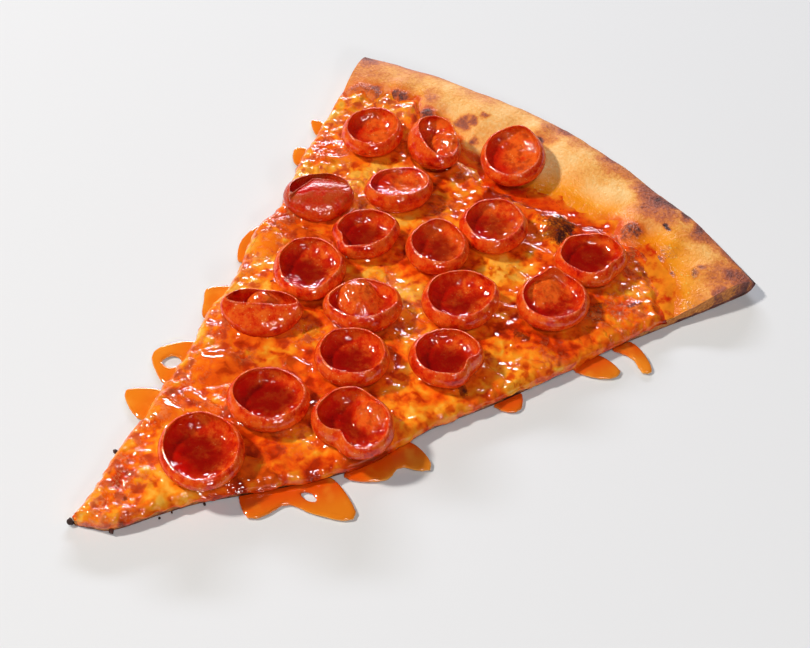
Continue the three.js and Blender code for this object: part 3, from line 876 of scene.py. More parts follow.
@dataclass(frozen=True)
class Crust:
    """Baked dough: creamy gold, toasted and charred in places, oily beside the sauce, with painted glints on
    the oil.
    """

    bake: tuple = (
        (0.0, tint(252, 208, 138)), (0.2, tint(248, 178, 86)), (0.4, tint(222, 128, 50)),
        (0.55, tint(182, 94, 56)), (0.7, tint(142, 76, 62)), (0.85, tint(104, 56, 50)),
        (1.0, tint(50, 30, 26)),
    )
    oil: tuple = tint(254, 158, 6)
    stain: tuple = tint(224, 78, 4)
    painted_glint: tuple = tint(255, 224, 110)
    crumb: tuple = tint(222, 146, 70)
    tan: tuple = tint(186, 104, 44)
    patch: float = 12.0
    speckle: float = 1.2
    painted_glint_dot: float = 1.6
    pore: float = 2.2
    pit: float = 0.55
    crag: float = 0.9
    matt: float = 0.58
    shine: float = 0.4

    def material(self) -> bpy.types.Material:
        """Makes the finish.

        Returns:
            The material.
        """
        b = Bench("baked_crust")
        cloud, fine = b.noise(self.patch, 3, 0.6), b.noise(self.speckle, 3, 0.65)
        oily, cut = b.mask("oil"), b.mask("cut")
        baked = b.mask("bake") + (cloud - 0.5) * 0.5 + (fine - 0.5) * 0.5
        crumb = b.mix(b.step(fine, 0.35, 0.7), self.crumb, self.tan)
        # Painted glints: bright dots scattered over the oily band.
        gold = b.mix(b.step(b.dots(self.painted_glint_dot), 0.3, 0.1) * b.step(fine, 0.45, 0.6), self.oil, self.painted_glint)
        stain = b.mask("stain") * b.step(baked, 0.85, 0.6)
        colour = b.coats(
            b.ramp(baked, self.bake),
            (cut * b.step(baked, 0.75, 0.5), crumb),
            (oily * b.step(baked, 0.8, 0.5), gold),
            (stain, self.stain),
        )
        roughness = self.matt - oily.most(stain) * self.shine
        pores = b.step(b.dots(self.pore), 0.3, 0.0) * (1 - oily)
        crags = cut * 0.5 + b.step(baked, 0.55, 0.9) * 0.7
        height = fine * 0.34 + b.noise(self.pit, 2) * 0.1 - pores * 0.12 + crags * b.noise(self.crag, 2)
        return b.finish(colour, roughness, height, Specular_IOR_Level=0.4)


@dataclass(frozen=True)
class Tomato:
    """Cooked tomato sauce with oil in it."""

    red: tuple = tint(206, 42, 6)
    orange: tuple = tint(232, 80, 10)
    dark: tuple = tint(150, 18, 6)
    gold: tuple = tint(242, 142, 30)
    patch: float = 4.5
    speckle: float = 1.0
    lump: float = 2.6
    gloss: float = 0.07

    def material(self) -> bpy.types.Material:
        """Makes the finish.

        Returns:
            The material.
        """
        b = Bench("tomato_sauce")
        cloud, fine = b.noise(self.patch, 4, 0.6), b.noise(self.speckle, 2)
        colour = b.coats(
            self.red,
            (b.step(cloud, 0.36, 0.66), self.orange),
            (b.step(fine, 0.6, 0.8), self.dark),
            (b.mask("thin") * b.step(cloud, 0.3, 0.6), self.gold),
        )
        return b.finish(colour, self.gloss, b.noise(self.lump, 0) * 0.5, Specular_IOR_Level=0.5)


@dataclass(frozen=True)
class MeltedCheese:
    """Melted cheese: golden where thick, orange and red with oil, freckled and glossy."""

    warmth: tuple = (
        (0.0, tint(255, 186, 68)), (0.2, tint(255, 156, 34)), (0.4, tint(252, 126, 22)),
        (0.6, tint(242, 92, 14)), (0.8, tint(216, 60, 8)), (1.0, tint(160, 36, 4)),
    )
    honey: tuple = tint(238, 104, 16)
    freckle: tuple = tint(190, 48, 2)
    # Pale curds, partly a painted reflection of the shine on the cheese.
    curd: tuple = tint(250, 176, 112)
    toast: tuple = tint(124, 44, 14)
    char: tuple = tint(66, 30, 26)
    bloom: tuple = tint(140, 88, 98)
    patch: float = 7.0
    blotch: float = 3.6
    speckle: float = 0.8
    lump: float = 2.6
    pimple: float = 1.5
    gloss: float = 0.04

    def material(self) -> bpy.types.Material:
        """Makes the finish.

        Returns:
            The material.
        """
        b = Bench("melted_cheese")
        cloud, blotch = b.noise(self.patch, 2, 0.5, 0.5), b.noise(self.blotch, 2, 0.4, 0.4)
        fine = b.noise(self.speckle, 3, 0.65)
        warmth = b.mask("warm") + (cloud - 0.5) * 0.6 + (blotch - 0.5) * 1.4 + (fine - 0.5) * 0.25
        film, coarse = b.mask("honey"), b.mask("coarse")
        # Pale curds over the coarse spots, which also stand in for painted glints.
        curds_and_painted_glints = coarse * b.step(blotch + (fine - 0.5) * 0.9, 0.5, 0.62)
        freckles = b.step(b.noise(self.blotch, 2, 0.5, 0.3), 0.53, 0.66) * b.step(cloud, 0.32, 0.52)
        toasted = b.step(b.mask("toast") + (fine - 0.5) * 1.2, 0.3, 0.9)
        charred = b.step(b.mask("char") + (fine - 0.5) * 1.6, 0.4, 1.0)
        ash = b.mask("bloom").most(b.step(blotch, 0.55, 0.7) * 0.7)
        colour = b.coats(
            b.ramp(warmth, self.warmth),
            (film * 0.4, self.honey),
            (curds_and_painted_glints * 0.42, self.curd),
            (freckles * 0.6, self.freckle),
            (toasted * 0.9, self.toast),
            (charred, b.mix(ash, self.char, self.bloom)),
        )
        dry = 1 - film
        roughness = self.gloss + dry * (0.01 + fine * 0.06)
        height = dry * (b.noise(self.lump, 0) * 0.55 + b.noise(self.pimple, 0) * (0.14 + coarse * 0.3))
        return b.finish(colour, roughness, height, Specular_IOR_Level=0.5)


@dataclass(frozen=True)
class CuredSausage:
    """Pepperoni: orange red and wet with oil, with fat specks, thin pale lips, dark oil inside, painted
    glints and painted shade.
    """

    wall: tuple = tint(222, 46, 8)
    warm: tuple = tint(242, 104, 30)
    deep: tuple = tint(170, 14, 4)
    fat: tuple = tint(255, 196, 118)
    lip: tuple = tint(255, 184, 150)
    # Deeper red down in the wet bowls: the oil-soaked meat's own colour, and painted shade in the recess.
    bowl: tuple = tint(194, 32, 6)
    oil: tuple = tint(136, 3, 0)
    # Colour of the painted shade on the inner wall that the key lamp does not reach.
    hollow: tuple = tint(212, 10, 2)
    mottle: tuple = tint(176, 48, 12)
    aged: tuple = tint(150, 30, 12)
    patch: float = 3.6
    speckle: float = 0.8
    fat_and_glint_dot: float = 1.4
    blot: float = 3.2
    grit: float = 0.9
    grain: float = 1.7
    crinkle: float = 1.1
    gloss: float = 0.04

    def material(self) -> bpy.types.Material:
        """Makes the finish.

        Returns:
            The material.
        """
        b = Bench("cured_sausage")
        cloud, fine = b.noise(self.patch, 3, 0.6), b.noise(self.speckle, 3, 0.65)
        inside, dried, aged, oily = b.mask("inside"), b.mask("dried"), b.mask("aged"), b.mask("oil")
        shade = cloud + (fine - 0.5) * 0.3 + dried * 0.16
        # Fat specks, which also serve as painted glints on the walls.
        specks = b.step(b.dots(self.fat_and_glint_dot), 0.2, 0.06) * b.step(cloud, 0.42, 0.58)
        blots = dried * b.step(b.noise(self.blot, 2, 0.6), 0.45, 0.64)
        # Deeper red low in the wet bowls: oil-soaked meat and painted shade in the recess.
        painted_shade_and_soak = b.step(inside, 0.5, 1.0) * b.step(shade, 0.7, 0.4) * (1 - dried)
        colour = b.coats(
            self.wall,
            (b.step(shade, 0.36, 0.7), self.warm),
            (b.step(shade, 0.44, 0.22), self.deep),
            (specks * (0.6 + dried * 0.35), self.fat),
            (blots * 0.7, self.mottle),
            (aged * b.step(cloud, 0.25, 0.6) * 0.6, self.aged),
            (painted_shade_and_soak * 0.7, self.bowl),
            # Painted shade: the inner wall on the side away from the key lamp is darkened.
            (b.mask("hollow") * 0.85, self.hollow),
            # Painted shade: the outer wall darkens towards its foot, where it meets the cheese.
            (b.mask("base") * 0.75, self.deep),
            (oily * 0.85, self.oil),
            (b.mask("lip") * b.step(fine, 0.4, 0.62) * 0.6, self.lip),
        )
        dry = 1 - oily
        roughness = self.gloss + dry * fine * 0.06 + aged * 0.2
        grains = b.noise(self.grit, 0) * 0.08 + b.noise(self.grain, 0) * (0.14 + inside * 0.16)
        grains = grains + dried * b.noise(self.crinkle, 0) * 0.14
        height = dry * grains + oily * b.noise(self.blot, 0) * 0.12
        return b.finish(colour, roughness, height, Specular_IOR_Level=0.55)


@dataclass(frozen=True)
class ClearHoney:
    """Honey: clear amber, deeper where it is thick, with painted shadow beside the slice."""

    rim: tuple = tint(176, 92, 22)
    bright: tuple = tint(255, 206, 112)
    clear: tuple = tint(252, 168, 56)
    deep: tuple = tint(242, 132, 24)
    shaded: tuple = tint(234, 70, 4)
    patch: float = 6.0
    gloss: float = 0.04
    coat_gloss: float = 0.02

    def material(self) -> bpy.types.Material:
        """Makes the finish.

        Returns:
            The material.
        """
        b = Bench("clear_honey")
        cloud = b.noise(self.patch, 2)
        stops = ((0.0, self.rim), (0.16, self.bright), (0.42, self.clear), (1.0, self.deep))
        colour = b.ramp(b.mask("depth") + (cloud - 0.5) * 0.9, stops)
        # Painted shadow: honey lying close beside the slice is darker red.
        colour = b.mix(b.mask("beside") * b.step(cloud, 0.1, 0.5) * 0.9, colour, self.shaded)
        coat = {"Coat_Weight": 0.6, "Coat_Roughness": self.coat_gloss}
        return b.finish(colour, self.gloss, None, Specular_IOR_Level=0.6, **coat)


# ---------------------------------------------------------------- dough

# Vertices with a smaller share of the width between them and a cut lie on it.
ON_CUT = 1e-6


@dataclass
class Dough:
    """The baked base with its raised rim."""

    columns: int = 150
    flat_rows: int = 120
    rim_rows: int = 62
    edge_rows: int = 14
    edge_reach: float = 8.0
    cut_strip: float = 1.6
    wall_steps: int = 8
    tip_station: float = 1.0
    rim_inner: float = 196.0
    rests_from: float = 6.0
    proud: float = 0.12
    swells: float = 0.5
    crags: float = 0.22
    hollows: float = 0.25
    crumbs: float = 0.35
    crag: Grain = field(default_factory=lambda: Grain(11, 5.5, 3))
    swell: Grain = field(default_factory=lambda: Grain(12, 22.0, 2))
    crumb: Grain = field(default_factory=lambda: Grain(13, 2.4, 2))
    bake_spots: Spots = (
        (-34, 219.5, 3.4, 0.48), (-31, 223, 2.2, 0.5), (-29, 227, 1.8, 0.45), (-23.5, 217, 2.6, 0.45),
        (-47, 213.5, 4.6, 0.66), (-61, 215, 3.6, 0.62), (46, 213.6, 4.2, 0.6), (51, 215.4, 4.4, 0.64),
        (48.6, 211.4, 3.4, 0.56), (71, 210, 9, 0.34), (60, 214, 6, 0.22), (84, 204, 10, 0.32),
        (-4, 232, 5, 0.3), (47, 231, 9, 0.52), (41, 234, 7, 0.42), (55, 229, 7, 0.34),
        (64, 226, 5, 0.2), (61, 233, 4, 0.5), (65, 217, 5.5, 0.36), (64, 212, 2.8, 0.54),
        (72, 209, 3.0, 0.55), (78, 218.5, 2.4, 0.54), (78.5, 214.5, 3.0, 0.55), (75, 203, 2.2, 0.4),
        (80, 202, 2.2, 0.4), (88, 217, 9, 0.3), (91, 224, 8, 0.55), (82, 224, 7, 0.25),
        (-52, 222, 5, 0.3), (-86, 222, 7, 0.45), (-76, 226, 8, 0.2), (-64, 231, 7, 0.18),
        (-5, 237, 6, 0.3), (8, 240, 9, 0.24), (28, 238.5, 10, 0.3), (-42, 236, 13, 0.16),
        (70, 231, 7, 0.4),
        *((x, y, 1.1 * radius, 0.56) for x, y, radius, _ in Layers.CHARRED),
        (58.2, 224.6, 1.3, 1.0), (-4.4, 229.6, 1.9, 0.9), (47, 235, 3.5, 0.7), (60, 235.5, 4, 0.75),
        (94, 222, 4.5, 0.85), (-89, 221, 3, 0.7), (52, 238, 5, 0.7), (40, 239.5, 5, 0.5),
        (0, 242, 6, 0.45), (20, 241, 6, 0.45), (90, 213, 3.5, 0.5), (67, 233, 4, 0.6),
    )
    pale_spots: Spots = ((77, 208, 4, 0.2), (30, 226, 9, 0.08), (5, 226, 10, 0.1), (-45, 228, 9, 0.06))
    stained_spots: Spots = tuple((x, y, 1.9 * radius, 0.8) for x, y, radius, _ in Layers.CHARRED)

    def build(self, finish: bpy.types.Material) -> None:
        """Makes the dough.

        Args:
            finish: its material.
        """
        rows = self.flat_rows + self.rim_rows + self.edge_rows
        obj = grid_block("dough_fine", self.columns, rows, self.wall_steps)
        u, v, k = coordinates(obj).T
        station = self._station(v * rows)
        across = even_with_edges(u, station, self.columns, self.cut_strip)
        at_cut = (np.minimum(across, 1 - across) < ON_CUT).astype(float)
        x, y, z = self._shape(station, across, k, at_cut)
        put(obj, x, y, z)
        paint(obj, **self._masks(x, y, station, across, k, at_cut * (1 - ease(0.93, 1.0, k)), z))
        close_up(obj)
        serve(obj, Slot.DOUGH, finish, "dough")

    def _station(self, row: Array) -> Array:
        """Stations of the rows: coarse on the flat, finer on the rim, finest round its outer edge.

        Args:
            row: the rows' numbers.

        Returns:
            Their distances from the tip.
        """
        edge = Plan.LENGTH - self.edge_reach
        first, second = self.flat_rows, self.flat_rows + self.rim_rows
        flat = self.tip_station + (self.rim_inner - self.tip_station) * row / first
        rim = self.rim_inner + (edge - self.rim_inner) * (row - first) / self.rim_rows
        left = 1 - (row - second) / self.edge_rows
        outer = Plan.LENGTH - self.edge_reach * left**2
        return np.where(row < first, flat, np.where(row < second, rim, outer))

    def _shape(self, station: Array, across: Array, k: Array, at_cut: Array) -> tuple[Array, Array, Array]:
        """Places the dough's vertices.

        Args:
            station: their stations.
            across: their shares of the width.
            k: their shares of the thickness.
            at_cut: 1 at the cut faces and 0 elsewhere.

        Returns:
            Their x, y and z.
        """
        x, y = Plan.point(station, across)
        inward = np.clip(Plan.LENGTH - station, 0, None)
        bare = ease(-8, 4, station - Layers.SAUCE_END(across)) * ease(0, 3, inward)
        relief = bare * (self.swells * self.swell(x, y) + self.crags * self.crag(x, y))
        top = Layers.dough_top(station, across) + self.proud + relief + bumps(Layers.CHARRED, x, y)
        pitted = ease(0.2, 0.8, self.crag(x + 90, y)) * ease(self.rests_from, 2 * self.rests_from, inward)
        bottom = Layers.UNDERCUT(inward) + self.hollows * pitted
        bottom = np.where(inward <= 0, Layers.OUTER_EDGE, np.maximum(bottom, 0))
        z = bottom + (np.maximum(top, bottom) - bottom) * k
        z = np.where((k <= 0) & (inward > self.rests_from), 0.0, z)
        side = np.where(across < 0.5, -1.0, 1.0)
        ragged = at_cut * (4 * k * (1 - k)) * (self.crumbs * self.crumb(station, z * 1.4 + side * 40) + 0.1)
        return x + side * ragged * math.cos(Plan.HALF_ANGLE), y - ragged * math.sin(Plan.HALF_ANGLE), z

    def _masks(
        self, x: Array, y: Array, station: Array, across: Array, k: Array, cut: Array, z: Array
    ) -> dict[str, Array]:
        """Where the crust is baked, cut, oily and stained.

        Args:
            x: the vertices' first coordinates.
            y: their second coordinates.
            station: their stations.
            across: their shares of the width.
            k: their shares of the thickness.
            cut: how far they are part of a cut face.
            z: their heights.

        Returns:
            The finish's masks.
        """
        inward = np.clip(Plan.LENGTH - station, 0, None)
        outer = 0.3 * (1 - ease(1.5, 8, inward)) + 0.32 * (1 - ease(0, 3.0, inward))
        ends = np.maximum(0.2 * (1 - ease(0.02, 0.3, across)), 0.14 * ease(0.8, 0.96, across))
        browned = np.maximum(outer + ends, spotted(self.bake_spots, x, y)) - spotted(self.pale_spots, x, y)
        low = np.clip(1 - z / 1.6, 0, 1)
        end = Layers.margin(Layers.SAUCE_END(across), across)
        beyond = np.clip(station - end + 0.6 * (strayed(x, y)[0] - x), 0, None)
        middle = ease(0.42, 0.56, across) * (1 - 0.3 * ease(0.8, 0.9, across))
        centre = ease(0.42, 0.5, across) * (1 - ease(0.66, 0.74, across))
        left, right = 1 - ease(0.05, 0.3, across), ease(0.76, 0.86, across)
        reach = 3.0 + 9.5 * middle + 7.0 * right + 8.0 * left
        seep = (1 - ease(0.0, 1.6 + 3.0 * middle, beyond)) * (0.95 - 0.7 * centre) * (1 - 0.4 * right)
        open_face = (k > 0.5) * (np.minimum(across, 1 - across) >= ON_CUT)
        return {
            "bake": np.where(k > 0.1, 0.15 + browned + 0.6 * low * cut, 0.72),
            "cut": cut,
            "oil": (1 - ease(1.0, reach, beyond)) * (0.6 + 0.4 * middle) * open_face,
            "stain": np.maximum(seep, 0.7 * spotted(self.stained_spots, x, y)) * open_face,
        }


def even_with_edges(u: Array, station: Array, columns: int, reach: float, share: int = 4) -> Array:
    """Shares of the width for a block's columns, with narrow cells beside the cuts.

    Args:
        u: shares of the columns.
        station: the rows' stations.
        columns: number of columns.
        reach: width of the strip of narrow cells.
        share: number of columns in each strip.

    Returns:
        Shares of the width.
    """
    band = share / columns
    strip = np.minimum(reach / Plan.width(station), 0.2)
    near = np.minimum(u, 1 - u)
    edge = strip * (near / band) ** 1.4
    inner = strip + (0.5 - strip) * (near - band) / (0.5 - band)
    half = np.where(near < band, edge, inner)
    return np.where(u < 0.5, half, 1 - half)


# ---------------------------------------------------------------- sauce and cheese

# The length, in millimetres, over which a margin's wander is drawn.
ALONG_MARGIN = 180.0


@dataclass
class Sauce:
    """The thin layer of tomato sauce."""

    columns: int = 150
    flat_rows: int = 50
    end_rows: int = 46
    flat_share: float = 0.86
    plain_end: float = 210.0
    cut_strip: float = 1.6
    end_strip: float = 6.5
    spill: float = 0.7
    root: float = 0.35
    lumps: Grain = field(default_factory=lambda: Grain(21, 3.4, 2))
    wander: Grain = field(default_factory=lambda: Grain(22, 7.0, 3))

    def build(self, finish: bpy.types.Material) -> None:
        """Makes the sauce.

        Args:
            finish: its material.
        """
        rows = self.flat_rows + self.end_rows
        obj = grid_block("sauce_fine", self.columns, rows)
        u, v, k = coordinates(obj).T
        row = v * rows
        flat = self.flat_share * row / self.flat_rows
        tail = self.flat_share + (1 - self.flat_share) * (row - self.flat_rows) / self.end_rows
        share = np.where(row < self.flat_rows, flat, tail)
        guess = Layers.SAUCE_START + (self.plain_end - Layers.SAUCE_START) * share
        across = even_with_edges(u, guess, self.columns, self.cut_strip)
        wander = self.wander(across * ALONG_MARGIN, across * 0 + 3)
        end = Layers.margin(Layers.SAUCE_END(across), across) + 1.2 * wander
        station = Layers.SAUCE_START + (end - Layers.SAUCE_START) * share
        x, y = Plan.point(station, across, Layers.SAUCE_INSET - self.spill)
        fade = ease(0, self.end_strip, end - station)
        dough = Layers.dough_top(station, across)
        lift = (Layers.sauce_top(station, across) - dough) * fade + 0.25 * self.lumps(x, y) * fade
        z = dough + np.where(k > 0.5, lift + 0.02, -self.root)
        put(obj, x, y, z)
        paint(obj, thin=np.maximum(1 - ease(0, 5, end - station), 0.85 * ease(0.78, 0.88, across)))
        close_up(obj)
        serve(obj, Slot.SAUCE, finish, "sauce")


@dataclass(frozen=True)
class Streak:
    """A thread or drop of honey on the cheese: its half width, thickness and path."""

    reach: float
    rise: float
    path: tuple[tuple[float, float], ...]

    def height(self, x: Array, y: Array) -> Array:
        """How thick the honey lies at points of the plan.

        Args:
            x: first coordinates.
            y: second coordinates.

        Returns:
            The thickness at each point.
        """
        away = np.full(np.shape(x), np.inf)
        ends = self.path if len(self.path) > 1 else self.path * 2
        for (ax, ay), (bx, by) in zip(ends[:-1], ends[1:]):
            length = max((bx - ax) ** 2 + (by - ay) ** 2, 1e-9)
            t = np.clip(((x - ax) * (bx - ax) + (y - ay) * (by - ay)) / length, 0, 1)
            away = np.minimum(away, np.hypot(x - ax - t * (bx - ax), y - ay - t * (by - ay)))
        share = np.clip(1 - (away / self.reach) ** 2, 0, 1)
        return self.rise * share**0.62


STREAKS = tuple(
    Streak(reach, rise, tuple(path))
    for reach, rise, *path in (
        (9.0, 0.7, (-10.5, 69.5)), (2.1, 0.6, (-9, 56.2), (3, 56.8)), (4.6, 0.9, (-10, 46), (-3, 46)),
        (4.8, 1.0, (26, 48), (34, 48.5), (38, 46)), (3.0, 0.9, (5, 88.4), (10, 89)),
        (2.0, 0.7, (-6, 102.5), (-3, 99.5)), (2.6, 0.9, (24, 113.8), (29, 109)),
        (1.5, 0.5, (19, 121), (24, 119)), (1.6, 0.5, (37, 100), (40, 101)), (1.5, 0.5, (43.4, 95)),
        (4.8, 1.0, (-42, 124), (-40, 119)), (2.2, 0.9, (-46, 133.5), (-37, 134.5), (-28, 137.5)),
        (3.4, 1.0, (-32.8, 163.4)), (2.6, 0.9, (-16, 180.6), (-7, 185.2)), (3.6, 0.9, (-19.5, 200.5)),
        (1.7, 0.6, (15.5, 192.6), (22, 193.6)), (1.7, 0.5, (23, 189.6)),
        (2.3, 0.9, (26, 185.4), (36, 186.4)), (1.5, 0.6, (28, 173.4), (35, 172.4)),
        (2.4, 0.9, (62, 170), (69, 172.6), (77, 172.6)), (2.2, 0.7, (64, 166.4), (70, 163)),
        (2.4, 0.9, (37, 155.2), (42, 157.2)), (1.5, 0.5, (-1, 144.4)), (1.5, 0.5, (1, 140.8)),
        (1.5, 0.5, (3.5, 138)), (2.6, 0.9, (15.5, 130), (24, 130)), (3.0, 1.0, (53, 129), (59, 129)),
        (1.7, 0.6, (59, 141.4), (65, 144.4)), (2.2, 0.6, (52, 149.6)), (1.3, 0.5, (17, 208), (20, 209)),
        (1.8, 0.8, (-47, 197), (-50, 202)), (1.7, 0.5, (-24, 205.6), (-30, 208.6)),
        (2.2, 0.7, (49, 121), (52, 116)), (2.0, 0.6, (-52, 176), (-58, 171)),
        (1.8, 0.6, (-38, 106), (-35, 99)), (1.4, 0.4, (66, 195), (70, 190)), (1.5, 0.4, (0, 104), (1, 97)),
        (1.2, 1.1, (-43, 163.5), (-37, 162), (-31.5, 157), (-29.5, 151)),
    )
)


@dataclass
class Cheese:
    """The melted cheese with the honey and oil that lie on it."""

    columns: int = 76
    bands: tuple[tuple[float, int], ...] = ((48.0, 64), (108.0, 44), (204.0, 40))
    wall_steps: int = 4
    start: float = 1.6
    cut_strip: float = 2.2
    end_strip: float = 4.5
    edge_radius: float = 1.4
    edge_depth: float = 1.1
    bedded: float = 0.15
    overhang: float = 2.9
    tip_fall: float = 1.7
    meniscus: float = 1.5
    cling: float = 1.25
    most_cling: float = 2.2
    # Reach and heading of the painted shadow beside the cups.
    painted_shadow_reach: float = 8.0
    painted_shadow_heading: tuple[float, float] = (0.76, 0.65)
    soft: Grain = field(default_factory=lambda: Grain(31, 6.0, 2))
    curd: Grain = field(default_factory=lambda: Grain(32, 2.4, 2))
    drape: Grain = field(default_factory=lambda: Grain(33, 9.0, 3))
    ragged: Grain = field(default_factory=lambda: Grain(35, 2.6, 2))
    warmth: Grain = field(default_factory=lambda: Grain(34, 17.0, 2))
    gold_spots: Spots = (
        (-32, 117, 8, 1.0), (-27, 104, 8, 0.9), (2, 102, 9, 1.0), (-3, 90, 8, 0.9), (-4, 83, 6, 0.8),
        (38, 108, 9, 0.8), (46, 100, 8, 0.5), (6, 33, 9, 0.45), (14, 27, 10, 0.5), (21, 33, 7, 0.55),
        (28, 69, 7, 0.7), (24, 172, 12, 1.0), (20, 181, 6, 0.8), (12, 143, 10, 0.8), (-15, 165, 7, 0.8),
        (-41, 178, 8, 0.9), (-47, 170, 7, 0.8), (55, 140, 9, 0.7), (63, 134, 8, 0.8), (62, 194, 8, 0.35),
        (70, 200, 8, 0.3), (-62, 199, 8, 0.7), (-3, 178, 6, 0.7), (-20, 206, 9, 0.9), (45, 60, 7, 0.6),
        (9, 18, 5, 0.45), (-63, 187, 7, 0.9), (52, 88, 6, 0.5), (58, 110, 7, 0.4), (66, 148, 6, 0.6),
        (-56, 207, 9, 0.9), (-65, 211, 8, 0.8), (-48, 211, 7, 0.6), (-72, 198, 8, 0.8), (-72, 187, 8, 0.8),
        (-39, 168, 8, 1.0), (10, 137, 9, 0.9), (-3, 138, 8, 0.9), (-30, 160, 6, 0.7), (-56, 160, 9, 0.8),
        (26, 125, 7, 0.7), (-30, 216, 9, 0.8), (-32, 97, 7, 0.5),
    )
    red_spots: Spots = (
        (12, 59, 8, 1.0), (22, 57, 8, 1.0), (-20, 84, 6, 0.6), (12, 204, 9, 0.55), (4, 203, 8, 0.5),
        (33, 207, 8, 0.8), (60, 157, 9, 0.7), (50, 152, 5, 0.8), (66, 162, 7, 0.6), (68, 178, 7, 0.5),
        (3, 20, 4, 0.6), (13, 10, 4, 0.9), (8, 55, 5, 0.7), (48, 145, 5, 0.6), (-3, 36, 5, 0.5),
        (-8, 41, 4, 0.6), (-16, 72, 4, 0.7), (24, 44, 7, 0.8), (32, 50, 6, 0.8), (41, 62, 6, 0.7),
        (49, 73, 6, 0.7), (-17, 178, 6, 0.9), (-20, 187, 4, 0.9), (39, 186, 6, 0.9), (58, 183, 5, 0.8),
        (5, 88, 4, 0.6), (-12, 51, 5, 0.6), (17, 60, 6, 0.8), (34, 119, 5, 0.7), (-10.5, 71, 8, 0.45),
        (-10, 135, 5, 0.6), (41, 136, 5, 0.5), (18, 137, 4, 0.5), (50, 108, 5, 0.4),
    )
    toast_spots: Spots = (
        (23, 201, 8, 0.6), (28, 202, 8, 0.9), (30, 196, 7, 0.9), (20, 205, 4, 0.4), (-20, 188, 3, 0.7),
        (52, 151, 2.5, 0.8), (54, 119, 2.6, 0.9), (70, 187, 3.0, 1.0), (-78, 206, 7, 0.6),
        (-68, 209, 6, 0.5), (46, 214, 6, 0.6), (8, 15, 1.2, 0.9), (-28, 109, 1.0, 1.0), (66, 186, 2, 0.6),
        (61, 179, 4, 0.6), (-50, 214, 5, 0.5), (13, 8, 2, 0.8), (64, 203, 2, 0.7), (75, 193, 2, 0.6),
    )
    char_spots: Spots = (
        (27, 205, 3.8, 0.72), (31, 201, 4.8, 0.85), (32.2, 195, 5.0, 0.9), (27, 199, 4.4, 0.66),
        (70, 187.6, 1.8, 0.8), (54.5, 119.5, 1.5, 0.7),
    )
    ashen_spots: Spots = ((70, 187.6, 1.8, 0.8),)
    coarse_spots: Spots = (
        (4, 10, 12, 1.0), (3, 24, 9, 0.8), (68, 190, 12, 1.0), (66, 200, 9, 0.7), (-58, 172, 9, 1.0),
        (-26, 208, 6, 0.9), (10, 214, 8, 0.8), (72, 178, 8, 0.9), (-32, 95, 7, 0.9), (-26, 84, 6, 0.9),
        (-40, 112, 7, 0.8), (-16, 52, 6, 0.9), (-12, 36, 6, 0.9), (45, 214, 8, 0.9), (64, 150, 8, 0.5),
        (30, 66, 8, 0.5), (-70, 200, 8, 0.7), (-50, 145, 6, 0.7), (60, 205, 8, 0.8), (12, 137, 8, 0.9),
        (-58, 208, 10, 0.9), (-36, 214, 8, 0.8), (-40, 168, 9, 1.0), (0, 101, 8, 0.9), (-1, 137, 8, 1.0),
        (18, 135, 7, 0.9), (25, 125, 7, 0.8), (-55, 152, 9, 1.0), (-57, 163, 8, 1.0), (-32, 160, 6, 0.9),
        (-8, 178, 6, 0.8), (-15, 202, 8, 0.9), (-65, 212, 9, 1.0), (-28, 218, 8, 1.0), (16, 213, 7, 0.8),
        (64, 176, 6, 0.9), (-42, 127, 8, 1.0), (0, 60, 8, 0.8), (-8, 80, 5, 0.7), (-41, 178, 7, 0.6),
        (10, 206, 6, 0.6), (-72, 190, 7, 0.8),
    )

    def build(self, finish: bpy.types.Material) -> None:
        """Makes the cheese.

        Args:
            finish: its material.
        """
        rows = sum(count for _, count in self.bands)
        obj = grid_block("cheese_fine", self.columns, rows, self.wall_steps)
        passed = 0
        for _, count in self.bands[:-1]:
            passed += count
            refine(obj, passed / rows)
        u, v, k = coordinates(obj).T
        knots = np.cumsum([0] + [count for _, count in self.bands])
        guess = np.interp(v * rows, knots, [self.start] + [end for end, _ in self.bands])
        share = (guess - self.start) / (self.bands[-1][0] - self.start)
        across = even_with_edges(u, guess, self.columns, self.cut_strip)
        along = across * ALONG_MARGIN
        end = Layers.margin(Layers.CHEESE_END(across), across) + 1.6 * self.drape(along + 40, across * 0 + 60)
        end = end + 0.9 * self.ragged(along, across * 0 + 20)
        station = self.start + (end - self.start) * share
        x, y, z, masks = self._shape(station, across, k, end)
        put(obj, x, y, z)
        paint(obj, **masks)
        close_up(obj)
        serve(obj, Slot.CHEESE, finish, "cheese")

